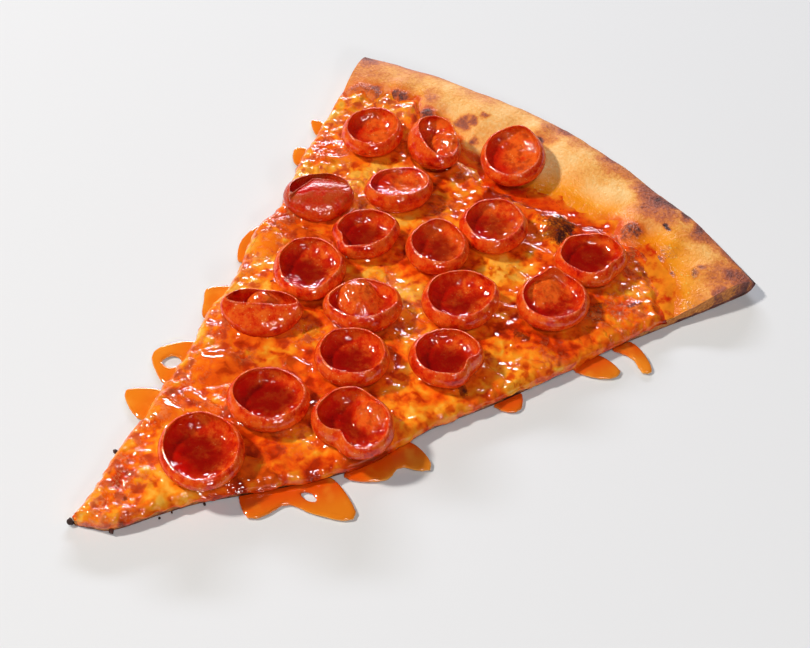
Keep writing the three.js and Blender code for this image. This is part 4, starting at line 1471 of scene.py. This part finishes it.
    def _shape(
        self, station: Array, across: Array, k: Array, end: Array
    ) -> tuple[Array, Array, Array, dict[str, Array]]:
        """Places the cheese's vertices.

        Args:
            station: their stations.
            across: their shares of the width.
            k: their shares of the thickness.
            end: the stations of the cheese's margin.

        Returns:
            x, y, z and the finish's masks.
        """
        left = across < 0.5
        side = np.where(left, -60.0, 60.0)
        lip = Layers.CHEESE_LIP(station) + 0.35 + 0.45 * self.drape(station, side)
        lip = (lip + 0.3 * self.ragged(station, side)) * ease(self.start, 9, station)
        x, y = Plan.point(station, across, -lip)
        from_cut = np.minimum(across, 1 - across) * Plan.width(station)
        front = ease(0, 5, station - self.start)
        fade = 1 - ease(0, self.end_strip, end - station)
        coarse = np.maximum(spotted(self.coarse_spots, x, y), 0.8 * (1 - ease(4, 15, from_cut)) * left)
        film, cling, painted_shadow = self.wet(x, y)
        calm = 1 - ease(0.05, 0.5, film)
        lumps = 0.3 * self.soft(x, y) + (0.2 + 0.34 * coarse) * self.curd(x, y)
        body = ease(0, 3.0, from_cut) * (1 - fade) * front
        bumpy = lumps * calm * (0.45 + 0.55 * body)
        top = Layers.cheese_top(station, across) + bumpy + film * ease(0, 1.6, from_cut) + cling * body
        under = Layers.sauce_top(station, across) + 0.05
        inner = 1 - np.clip(from_cut / self.edge_radius, 0, 1)
        rounded = self.edge_depth * (1 - np.sqrt(np.clip(1 - inner**2, 0, 1)))
        top = top - rounded - fade * (top - under + 0.12) - (1 - front)
        hang = ease(0.35, 0.0, from_cut) * (1.5 + 1.3 * self.drape(station * 1.3, side + 20))
        bottom = under - self.bedded - np.clip(hang + self.tip_fall * (1 - front), 0, self.overhang)
        z = bottom + (np.maximum(top, bottom + 0.1) - bottom) * k
        push = (from_cut < 0.01) * 4 * k * (1 - k) * (0.45 + 0.3 * self.ragged(station * 1.5, z * 1.5 + side))
        x = x + np.where(left, -push, push)
        warm = 0.57 + 0.2 * self.warmth(x, y) - 0.4 * spotted(self.gold_spots, x, y) - 0.3 * lumps * calm
        # Redder at the cups' feet: honey and oil there, and painted shade.
        warm = warm + 0.36 * spotted(self.red_spots, x, y) + 0.16 * np.clip(cling, 0, 1)
        far_right = ease(0.74, 0.9, across) * ease(170, 190, station)
        # The cups' shadow side, on their right, is painted redder.
        warm = warm + 0.12 * fade + 0.06 * far_right + 0.12 * painted_shadow - 0.2 * (1 - ease(1, 7, from_cut)) * left
        masks = {
            "warm": warm + 0.12 * (k < 0.99),
            "honey": np.clip(ease(0.02, 0.3, film) + ease(0.08, 0.6, cling), 0, 1) * (k > 0.99),
            "toast": spotted(self.toast_spots, x, y) + 0.2 * (k < 0.01),
            "char": spotted(self.char_spots, x, y),
            "bloom": ease(0.1, 0.9, spotted(self.ashen_spots, x, y)) * 0.8,
            "coarse": coarse,
        }
        return x, y, z, masks

    def wet(self, x: Array, y: Array) -> tuple[Array, Array, Array]:
        """Honey on the cheese, and painted shadow beside the cups.

        Args:
            x: first coordinates.
            y: second coordinates.

        Returns:
            The thickness of the threads and drops, how high honey climbs at the cups' walls, and a
            mask of painted shadow on their right, where their shadows fall.
        """
        film = np.zeros(np.shape(x))
        for streak in STREAKS:
            film = np.maximum(film, streak.height(x, y))
        cling, painted_shadow = np.zeros(np.shape(x)), np.zeros(np.shape(x))
        for cup in CUPS:
            dx, dy = x - cup.at[0], y - cup.at[1]
            away = np.hypot(dx, dy) - cup.foot_radius(np.arctan2(dy, dx))
            cling = cling + self.meniscus * np.exp(-np.abs(away) / self.cling)
            ahead = self.painted_shadow_heading[0] * dx + self.painted_shadow_heading[1] * dy
            facing = ease(-0.1, 0.9, ahead / np.maximum(np.hypot(dx, dy), 1.0))
            painted_shadow = np.maximum(painted_shadow, facing * (1 - ease(1, self.painted_shadow_reach, away)))
        return film, np.clip(cling, 0, self.most_cling), painted_shadow


# ---------------------------------------------------------------- pepperoni cups


@dataclass
class Cup:
    """A pepperoni slice that has curled into a cup. Directions are degrees from +X.

    The lip is an oval, narrowed to the share oval of its radius in the direction pinch. Its rise is
    (share of the height, direction). A dent is (direction, depth, half width), and a crest is
    (direction, share of the height, half width). A fold is a wall turned in from a direction: where its
    crease lies, how it slants and how it puffs. A dome is a wall lying in the bowl: (direction,
    distance, half length, half width, height). The floor holds a pool of oil, unless its depth is 0.
    """

    at: tuple[float, float]
    radius: float
    height: float
    oval: float
    pinch: float
    rise: tuple[float, float]
    foot_oval: float | None = None
    lean: tuple[float, float] = (0.0, 0.0)
    dents: tuple[tuple[float, float, float], ...] = ()
    crests: tuple[tuple[float, float, float], ...] = ()
    folds: tuple[tuple[float, float, float, float], ...] = ()
    domes: tuple[tuple[float, float, float, float, float], ...] = ()
    pool: float = 1.1
    bowl: float = 2.4
    floor: float = 1.5
    dried: float = 0.0
    aged: float = 0.0

    FOOT_SHARE = 0.84
    FOOT_DENT = 0.35
    SEAT_MARGIN = 2.5
    CLEARANCE = 0.35
    SIDES = 84
    FEELERS = 48
    FELT_RINGS = (0, 0.4, 0.7, 0.9, 1.02)
    SKIN = (
        (0.0, 1.9), (0.0, 1.3), (0.03, 0.6), (0.08, 0.2), (0.16, -0.06), (0.28, -0.24), (0.42, -0.34),
        (0.56, -0.34), (0.7, -0.24), (0.82, -0.12), (0.91, -0.03), (0.96, 0.08), (0.99, 0.24), (1.0, 0.45),
        (0.99, 0.66), (0.96, 0.84), (0.91, 0.95),
    )
    LIP_RING = 12.6
    BOWL_RINGS = 24
    BELLY = 1.15
    CURL = 0.75
    OVERHANG = 2.2
    CREASE = 1.2
    MERGE = 0.35
    FILLET = 1.6
    # Direction of the inner wall that is painted in shade, away from the key lamp.
    PAINTED_SHADE_SIDE = math.radians(235)
    SEED = 100

    def _ellipse(self, oval: float, angle: Array) -> Array:
        """Distance of an oval's outline from its middle, in its own radii, in a direction."""
        turned = angle - math.radians(self.pinch)
        return 1 / np.hypot(np.cos(turned) / oval, np.sin(turned))

    def lip_radius(self, angle: Array) -> Array:
        """Distance of the lip from the axis in a direction, before the lean."""
        return self.radius * self._ellipse(self.oval, angle) - self.swayed(self.dents, angle)

    @staticmethod
    def swayed(places: Sequence[tuple[float, float, float]], angle: Array) -> Array:
        """The total of local changes round the wall.

        Args:
            places: direction, amount and half width in degrees of each.
            angle: where to take the total.

        Returns:
            One amount for each direction.
        """
        total = np.zeros(np.shape(angle))
        for direction, amount, half in places:
            away = np.angle(np.exp(1j * (angle - math.radians(direction))))
            total = total + amount * np.exp(-((away / math.radians(half)) ** 2))
        return total

    def foot_radius(self, angle: Array) -> Array:
        """Distance of the foot's edge from the axis in a direction."""
        plain = self.FOOT_SHARE * self.radius * self._ellipse(self.foot_oval or (self.oval + 1) / 2, angle)
        return plain - self.FOOT_DENT * self.swayed(self.dents, angle)

    def seat(self) -> Matrix:
        """Finds where the cup stands: on the slope under it, just clear of the cheese.

        Returns:
            The matrix that seats it.
        """
        x, y = self.at
        reach = self.radius * self.FOOT_SHARE
        right, left, far, near = Layers.surface(
            x + reach * np.array([1, -1, 0, 0]), y + reach * np.array([0, 0, 1, -1])
        )
        slope_x, slope_y = (right - left) / (2 * reach), (far - near) / (2 * reach)
        turn = np.arange(self.FEELERS) / self.FEELERS * 2 * math.pi
        ring = reach * np.array(self.FELT_RINGS)[:, None]
        dx, dy = ring * np.cos(turn), ring * np.sin(turn)
        lift = np.max(Layers.surface(x + dx, y + dy) - slope_x * dx - slope_y * dy)
        normal = Vector((-slope_x, -slope_y, 1)).normalized()
        place = Vector((x, y, lift)) + normal * self.CLEARANCE
        return Matrix.Translation(place) @ Vector((0, 0, 1)).rotation_difference(normal).to_matrix().to_4x4()

    def build(self, number: int, finish: bpy.types.Material) -> None:
        """Makes the cup.

        Args:
            number: its place in the row of cups.
            finish: its material.
        """
        rings = len(self.SKIN) + self.BOWL_RINGS
        deselect()
        bpy.ops.mesh.primitive_circle_add(vertices=self.SIDES, radius=1, fill_type="TRIFAN")
        obj = raised_block(f"pepperoni_fine_{number:02d}", rings - 1)
        px, py, k = coordinates(obj).T
        angle = np.arctan2(py, px)
        ring = np.rint(k * (rings - 1)).astype(int)
        x, y, z, masks = self._shape(number, angle, ring, np.hypot(px, py) < 0.5)
        seated = np.array(self.seat())
        put(obj, *(seated[:3, :3] @ np.stack([x, y, z]) + seated[:3, 3:]))
        paint(obj, **masks)
        close_up(obj, 80)
        serve(obj, Slot.PEPPERONI, finish, f"pepperoni_{number:02d}")

    def _wall(self, share: Array, inset: Array, angle: Array) -> tuple[Array, Array]:
        """Shapes the plain wall.

        Args:
            share: shares of the height.
            inset: distances inside the outer skin.
            angle: directions.

        Returns:
            The radius and the height of each point.
        """
        foot = self.foot_radius(angle)
        flare = np.sin(share * math.pi / 2)
        belly = self.BELLY * np.sin(share * math.pi) - self.CURL * share**3
        climb = 1 + self.rise[0] * np.cos(angle - math.radians(self.rise[1]))
        climb = climb + self.swayed(self.crests, angle) * share
        radius = foot + (self.lip_radius(angle) - foot) * flare + belly
        return np.maximum(radius - inset, 0.8), share * self.height * climb

    def _fold(self, x: Array, y: Array, z: Array, inset: Array) -> tuple[Array, Array, Array]:
        """Folds walls over towards the far lip, which the folded lip then follows at a distance.

        Args:
            x: first coordinates about the foot.
            y: second coordinates.
            z: heights.
            inset: how far each point lies inside the outer skin.

        Returns:
            The new x, y and z.
        """
        for direction, offset, slant, puff in self.folds:
            cos, sin = math.cos(math.radians(direction)), math.sin(math.radians(direction))
            u, v = x * cos + y * sin, y * cos - x * sin
            chord = np.sqrt(np.clip(1 - (v / self.radius) ** 2, 0.02, 1))
            limit = offset * chord + slant * np.clip(-v - 2, 0, None) - inset
            held = -self.CREASE * np.logaddexp(-u / self.CREASE, -limit / self.CREASE)
            held = held + 0.05 * np.maximum(u - limit, 0)
            share = np.clip(z / (0.95 * self.height), 0, 1) ** self.OVERHANG
            moved = share * (u - held)
            x, y = x - moved * cos, y - moved * sin
            folded = np.clip((u - held) / self.radius, 0, 1)
            z = z + self.height * folded * (puff * 4 * share * (1 - share) - 0.22 * share**2)
        return x, y, z

    def _domed(self, x: Array, y: Array, floor: Array) -> Array:
        """Raises the bowl's floor to the walls that lie folded in it.

        Args:
            x: first coordinates about the foot.
            y: second coordinates.
            floor: the plain bowl's heights.

        Returns:
            The new heights.
        """
        for direction, distance, along, across, height in self.domes:
            cos, sin = math.cos(math.radians(direction)), math.sin(math.radians(direction))
            u, v = x * cos + y * sin - distance, y * cos - x * sin
            dome = self.floor + (height - self.floor) * (1 - (u / along) ** 2 - (v / across) ** 2)
            floor = self.MERGE * np.logaddexp(floor / self.MERGE, np.maximum(dome, -20) / self.MERGE)
        return floor

    def _flood(self, dry: Array) -> tuple[Array, Array]:
        """Fills the bowl with its pool of oil.

        Args:
            dry: the floor's heights.

        Returns:
            The heights with the oil, and a mask of it.
        """
        if self.pool <= 0:
            return dry, np.zeros(np.shape(dry))
        level = self.floor + self.pool
        wet = 0.5 * (dry + level + np.sqrt((dry - level) ** 2 + self.FILLET))
        return wet, ease(0.1, 1.1, wet - dry)

    def _shape(
        self, number: int, angle: Array, ring: Array, centre: Array
    ) -> tuple[Array, Array, Array, dict[str, Array]]:
        """Places the cup's vertices about its foot.

        Args:
            number: seeds the cup's own crinkles.
            angle: the vertices' directions.
            ring: the numbers of their rings, from the foot over the lip to the floor.
            centre: which vertices are in the middle of the foot or of the floor.

        Returns:
            x, y, z and the finish's masks.
        """
        grain = Grain(self.SEED + number, 1.0, 2)
        cos, sin = np.cos(angle), np.sin(angle)
        skin = np.array(self.SKIN)
        last = len(skin) - 1
        in_bowl = ring > last
        share, inset = skin[np.minimum(ring, last)].T
        radius, z = self._wall(share, inset, angle)
        top = ease(0.45, 1.0, share)
        sway = 0.5 * grain(cos * 0.9 + 5, sin * 0.9) + 0.12 * grain(cos * 3 + 9, sin * 3 + share * 2)
        radius = radius + sway * (0.3 + 0.7 * top)
        crest = z + top * (0.55 * grain(cos * 0.9, sin * 0.9 + 7) + 0.16 * grain(cos * 2.6 + 3, sin * 2.6))
        turn = np.clip(ring - last, 0, None) / self.BOWL_RINGS * math.pi / 2
        reach, fall = np.cos(turn) ** (2 / self.bowl), np.sin(turn) ** (2 / self.bowl)
        radius = np.where(centre, 0.0, np.where(in_bowl, radius * reach, radius))
        plan_x, plan_y = radius * cos, radius * sin
        plain = self.floor + (crest - self.floor) * (1 - fall)
        bowl = self._domed(plan_x, plan_y, plain)
        raised = ease(0.3, 2.0, bowl - plain)
        pits = 0.3 * grain(plan_x / 2.0 + 30, plan_y / 2.0) + 0.5 * grain(plan_x / 7.0, plan_y / 7.0 + 60)
        floor, flooded = self._flood(bowl + pits * ease(0.1, 0.7, fall))
        z = np.where(in_bowl, floor, np.where(centre, 0.0, crest))
        pleats = 0.16 * grain(cos * 7 + 20, sin * 7) * reach * ease(0, 0.4, fall)
        radius = radius + np.where(in_bowl & ~centre, pleats, 0)
        leaned = np.clip(z / self.height, 0, 1) ** 2 * ~centre
        x, y = radius * cos + self.lean[0] * leaned, radius * sin + self.lean[1] * leaned
        x, y, z = self._fold(x, y, z, np.where(in_bowl, skin[last][1], inset))
        pale = np.clip(0.7 + 0.9 * grain(cos * 5, sin * 5), 0, 1)
        # Painted shade on the inner wall that faces away from the key lamp.
        shaded = ease(-0.3, 0.8, np.cos(angle - self.PAINTED_SHADE_SIDE)) * ease(0.1, 0.6, reach)
        masks = {
            "lip": np.exp(-(((ring - self.LIP_RING) / 0.9) ** 2)) * pale,
            "inside": ease(0.05, 0.8, fall) * in_bowl,
            "dried": np.maximum(self.dried * ease(0.0, 0.5, fall), 0.8 * raised) * in_bowl,
            "aged": self.aged * ease(0.2, 0.6, share),
            "hollow": shaded * ease(0.0, 0.25, fall) * (1 - raised) * in_bowl,
            "oil": flooded * in_bowl,
            # Painted shade at the foot of the outer wall, where it meets the cheese.
            "base": (1 - ease(0.02, 0.45, share)) * ~in_bowl,
        }
        return x, y, z, masks


CUPS = (
    Cup((-53.0, 188.6), 11.2, 7.8, 0.95, 10, (0.06, 109), pool=0.0, bowl=2.6, floor=3.2, dried=0.7),
    Cup((-31.0, 198.2), 12.4, 8.6, 0.68, 60, (0.16, 215), lean=(1.6, 1.4), dents=((60, 0.6, 40),),
        domes=((45, 5.0, 7.4, 10.0, 8.3),), pool=0.3, dried=0.6),
    Cup((-4.9, 214.4), 12.4, 8.0, 0.9, 56, (0.08, 110), crests=((110, 0.2, 24),), pool=0.0, bowl=2.6,
        floor=3.6, dried=1.0),
    Cup((-24.8, 172.4), 12.0, 7.4, 0.84, 155, (0.16, -40), pool=0.0, bowl=2.6, floor=4.0, dried=0.7),
    Cup((-42.3, 148.7), 12.0, 7.9, 0.86, 126, (0.06, -40), folds=((-46, -7.8, 1.0, 0.3),), pool=0.0,
        aged=1.0),
    Cup((-17.0, 146.2), 11.0, 7.8, 0.88, 142, (0.14, 74),
        dents=((-118, 1.5, 18), (-82, -0.8, 20), (52, -0.9, 16))),
    Cup((6.3, 158.9), 11.4, 8.1, 0.9, 23, (0.05, 120), dents=((73, 1.0, 30),), pool=0.7, floor=2.4,
        dried=0.7),
    Cup((13.0, 181.0), 12.1, 7.8, 0.95, 17, (0.04, 133), dents=((253, 1.0, 30),), pool=0.4, floor=2.6,
        dried=0.5),
    Cup((-18.0, 120.0), 12.9, 7.6, 0.9, 57, (0.06, 136), dents=((1, 1.4, 30),), pool=0.8, bowl=2.1),
    Cup((48.7, 191.5), 11.9, 7.8, 0.94, 163, (0.07, 15), pool=1.5,
        dents=((4, 1.3, 17), (46, -0.7, 20), (-83, 1.0, 30))),
    Cup((6.6, 120.4), 12.8, 7.9, 0.86, 127, (0.1, -20), dents=((-95, 0.7, 20), (181, 1.4, 30)),
        domes=((158, 5.2, 10.5, 9.5, 8.3),), pool=0.8),
    Cup((29.0, 144.6), 12.6, 8.2, 0.92, 151, (0.04, 84), dents=((66, -0.8, 15), (22, 0.5, 22)), pool=0.8,
        bowl=2.2),
    Cup((51.5, 166.8), 12.5, 7.8, 0.9, 6, (0.04, 160), dents=((150, 1.2, 20), (10, -0.3, 20), (97, 1.0, 30)),
        crests=((133, 0.3, 22),), domes=((165, 7.5, 9.5, 13.0, 6.2),), pool=0.5),
    Cup((-15.6, 95.0), 13.1, 8.4, 0.54, 129, (0.06, -51), 0.84, folds=((-49, 0.2, 0.0, 0.08),),
        domes=((131, 4.4, 6.5, 7.0, 8.2),), pool=0.0),
    Cup((20.8, 100.6), 11.6, 8.1, 0.93, 97, (0.07, 94), pool=1.0),
    Cup((43.0, 121.8), 11.6, 8.2, 0.94, 125, (0.08, 10), dents=((8, 2.0, 22), (-32, -0.8, 24)),
        crests=((10, 0.12, 20),), pool=1.0),
    Cup((14.1, 69.3), 12.6, 7.9, 0.9, 120, (0.05, 186), pool=1.2),
    Cup((40.0, 80.6), 12.8, 8.2, 0.9, 87, (0.07, 156), dents=((-80, 3.4, 22), (-12, -0.9, 36), (96, 0.8, 24)),
        domes=((75, 9.5, 9.0, 8.0, 7.4),), pool=0.6),
    Cup((14.0, 41.2), 12.9, 7.0, 0.9, 97, (0.2, 128), dents=((-50, -2.4, 50),), pool=0.9, bowl=2.2),
)


# ---------------------------------------------------------------- honey beside the slice


@dataclass
class HoneyPools:
    """Honey that has run off the slice and lies beside it."""

    count: int = 11
    cell: float = 0.45
    rounds: int = 9
    thick: float = 1.1
    shade_reach: float = 10.0
    left_shade: float = 0.4

    def build(self, finish: bpy.types.Material) -> None:
        """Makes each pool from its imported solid.

        Args:
            finish: their material.
        """
        for number in range(1, self.count + 1):
            self._pool(f"honey_{number:02d}", finish)

    def _pool(self, node: str, finish: bpy.types.Material) -> None:
        """Makes one pool: a voxel skin over its solid, rounded like a drop.

        Args:
            node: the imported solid.
            finish: its material.
        """
        solid = frame["nodes"][node]
        obj = solid.copy()
        obj.data = solid.data.copy()
        for key in {"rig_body", "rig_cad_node"} & set(obj.keys()):
            del obj[key]
        obj.parent = None
        obj.name = obj.data.name = f"{node}_fine"
        bpy.context.scene.collection.objects.link(obj)
        obj.hide_render = obj.hide_viewport = False
        take(obj)
        bpy.ops.object.mode_set(mode="EDIT")
        bpy.ops.mesh.select_all(action="SELECT")
        bpy.ops.mesh.remove_doubles(threshold=SLIVER)
        bpy.ops.object.mode_set(mode="OBJECT")
        for kind, settings in (
            ("REMESH", {"mode": "VOXEL", "voxel_size": self.cell * MM}),
            ("SMOOTH", {"factor": 0.5, "iterations": self.rounds}),
        ):
            modifier = obj.modifiers.new(kind.title(), kind)
            for name, value in settings.items():
                setattr(modifier, name, value)
            bpy.ops.object.modifier_apply(modifier=modifier.name)
        x, y, height = ((coordinates(obj) - ORIGIN) / MM).T
        height = height - height.min()
        put(obj, x, y, height)
        left, _, right, _ = Plan.cuts(np.hypot(x, y))
        # Painted shadow of the slice on the honey beside it, fainter on the left.
        shade = 1 - ease(0, self.shade_reach, np.maximum(left - x, x - right))
        beside = shade * np.where(x < left, self.left_shade, 1.0)
        paint(obj, depth=ease(0.0, self.thick, height), beside=beside)
        close_up(obj, 80)
        serve(obj, Slot.HONEY, finish, node)


# ---------------------------------------------------------------- charred crumbs


@dataclass
class Scraps:
    """Charred nubs at the tip and crumbs on the ground beside the right cut, joined in one piece."""

    nubs: Spots = ((0.2, -0.1, 1.0, 0.9), (1.6, 1.2, 0.9, 0.9), (-9.0, 25.6, 3.6, 0.7), (11.7, 6.2, 1.0, 0.8))
    crumbs: Spots = (
        (24.5, 0.9, 0.35), (28.5, 0.3, 0.3), (38.5, 0.5, 0.4), (87.0, 0.5, 0.4), (91.0, 0.7, 0.35),
    )
    ragged: float = 0.55
    bake: float = 1.0
    seed: int = 200

    def build(self, finish: bpy.types.Material) -> None:
        """Makes the scraps.

        Args:
            finish: their material.
        """
        places = list(self.nubs)
        for station, beyond, radius in self.crumbs:
            _, _, x, y = Plan.cuts(np.array([station]), -beyond - radius)
            places.append((float(x[0]), float(y[0]), 0.7 * radius, radius))
        made = [self._scrap(number, *place) for number, place in enumerate(places)]
        take(made[0])
        for obj in made:
            obj.select_set(True)
        bpy.ops.object.join()
        obj = bpy.context.object
        obj.name = obj.data.name = "scraps_fine"
        close_up(obj)
        serve(obj, Slot.DOUGH, finish)

    def _scrap(self, number: int, x: float, y: float, z: float, radius: float) -> bpy.types.Object:
        """Makes one ragged lump.

        Args:
            number: seeds its shape.
            x: its place.
            y: its place.
            z: its height.
            radius: its size.

        Returns:
            The lump.
        """
        deselect()
        bpy.ops.mesh.primitive_ico_sphere_add(subdivisions=3, radius=1)
        obj = bpy.context.object
        px, py, pz = coordinates(obj).T
        grain = Grain(self.seed + number, 0.7, 2)
        swell = radius * (1 + self.ragged * grain(px + 1.7 * pz, py - 0.6 * pz))
        put(obj, x + px * swell, y + py * swell, np.maximum(z + 0.8 * pz * swell, 0))
        blank = np.zeros(len(px))
        paint(obj, bake=blank + self.bake, cut=blank, oil=blank, stain=blank)
        return obj


# ---------------------------------------------------------------- studio


@dataclass(frozen=True)
class Lamp:
    """An area light that faces the slice.

    Its way is how far it hangs away from the camera, to the right and up, in shares of its distance in
    metres. Its power is in watts.
    """

    name: str
    way: tuple[float, float, float]
    distance: float
    size: tuple[float, float]
    power: float
    colour: tuple[float, float, float]

    def hang(self, heading: tuple[float, float]) -> None:
        """Hangs the lamp.

        Args:
            heading: the direction on the ground that leads away from the camera.
        """
        away, right = Vector((*heading, 0)), Vector((heading[1], -heading[0], 0))
        place = away * self.way[0] + right * self.way[1] + Vector((0, 0, self.way[2]))
        place = place * self.distance
        data = bpy.data.lights.new(self.name, "AREA")
        data.shape = "RECTANGLE"
        data.size, data.size_y = self.size
        data.energy = self.power
        data.color = self.colour
        lamp = bpy.data.objects.new(self.name, data)
        bpy.context.scene.collection.objects.link(lamp)
        lamp.location = place
        lamp.rotation_euler = (-place).to_track_quat("-Z", "Y").to_euler()


@dataclass
class Studio:
    """Camera, floor and lights."""

    eye: tuple[float, float, float] = (246.8, -137.9, 371.07)
    elevation: float = 46.32
    roll: float = 2.628
    heading: tuple[float, float] = (-0.6502, 0.7598)
    focal_pixels: float = 1500.0
    image_width: float = 810.0
    sensor: float = 36.0
    near: float = 0.01
    ground: float = 6.0
    drop: float = 0.0003
    sky: tuple[float, float, float, float] = (0.95, 0.96, 1.0, 1)
    sky_strength: float = 0.035
    lamps: tuple[Lamp, ...] = (
        Lamp("window", (2.1, -0.1, 0.75), 1.0, (1.4, 0.17), 31, (0.88, 0.91, 1.0)),
        Lamp("key", (0.1, -0.6, 0.64), 2.9, (0.24, 0.24), 49, (1.0, 0.94, 0.84)),
        Lamp("softbox", (-0.5, 0.12, 0.86), 2.0, (0.3, 0.3), 10.5, (1.0, 0.98, 0.95)),
        Lamp("fill", (-0.85, 0.3, 0.45), 1.8, (0.2, 0.2), 4.5, (1.0, 0.98, 0.95)),
    )

    def build(self) -> None:
        """Makes the camera, the floor and the lights."""
        self._camera()
        self._floor()
        for lamp in self.lamps:
            lamp.hang(self.heading)
        world = bpy.data.worlds.new("studio")
        world.use_nodes = True
        background = world.node_tree.nodes["Background"]
        background.inputs["Color"].default_value = self.sky
        background.inputs["Strength"].default_value = self.sky_strength
        bpy.context.scene.world = world
        bpy.context.scene.view_settings.view_transform = "Standard"

    def _camera(self) -> None:
        """Sets the camera down."""
        data = bpy.data.cameras.new("camera")
        data.sensor_width = self.sensor
        data.lens = self.focal_pixels * self.sensor / self.image_width
        camera = bpy.data.objects.new("camera", data)
        bpy.context.scene.collection.objects.link(camera)
        tilt, roll = math.radians(self.elevation), math.radians(self.roll)
        level = Vector((*self.heading, 0)).normalized()
        look = level * math.cos(tilt) - Vector((0, 0, math.sin(tilt)))
        right = look.cross(Vector((0, 0, 1))).normalized()
        up = right.cross(look)
        side = right * math.cos(roll) + up * math.sin(roll)
        turned = up * math.cos(roll) - right * math.sin(roll)
        basis = Matrix((side, turned, -look)).transposed().to_4x4()
        camera.matrix_world = Matrix.Translation(Vector(self.eye) * MM + Vector(ORIGIN)) @ basis
        data.clip_start = self.near
        bpy.context.scene.camera = camera

    def _floor(self) -> None:
        """Lays a plain pale floor."""
        deselect()
        bpy.ops.mesh.primitive_plane_add(size=self.ground, location=(0, 0, -self.drop))
        floor = bpy.context.object
        floor.name = "floor"
        bench = Bench("pale_floor")
        floor.data.materials.append(bench.finish((0.8, 0.82, 0.86, 1), 0.8, Specular_IOR_Level=0.1))


# ---------------------------------------------------------------- the whole slice


def layout_origin() -> tuple[float, float, float]:
    """Finds where the tip of the layout lies in the frame: the dough's solid tells.

    Returns:
        The place in metres.
    """
    low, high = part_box("dough")
    left_x, _ = Plan.point(np.array([Plan.LENGTH]), np.array([0.0]))
    right_x, _ = Plan.point(np.array([Plan.LENGTH]), np.array([1.0]))
    middle = float(left_x[0] + right_x[0]) / 2
    _, near = Plan.point(np.array([Dough.tip_station] * 2), np.array([0.0, 1.0]))
    return ((low.x + high.x) / 2 - middle * MM, low.y - float(near.min()) * MM, 0.0)


ORIGIN = np.array(layout_origin())


def main() -> None:
    """Builds the slice and its studio."""
    logging.basicConfig(level=logging.INFO, format="%(name)s: %(message)s")
    Studio().build()
    crust = Crust().material()
    Dough().build(crust)
    Scraps().build(crust)
    Sauce().build(Tomato().material())
    Cheese().build(MeltedCheese().material())
    sausage = CuredSausage().material()
    for number, cup in enumerate(CUPS, start=1):
        cup.build(number, sausage)
    HoneyPools().build(ClearHoney().material())


if __name__ == "__main__":
    main()
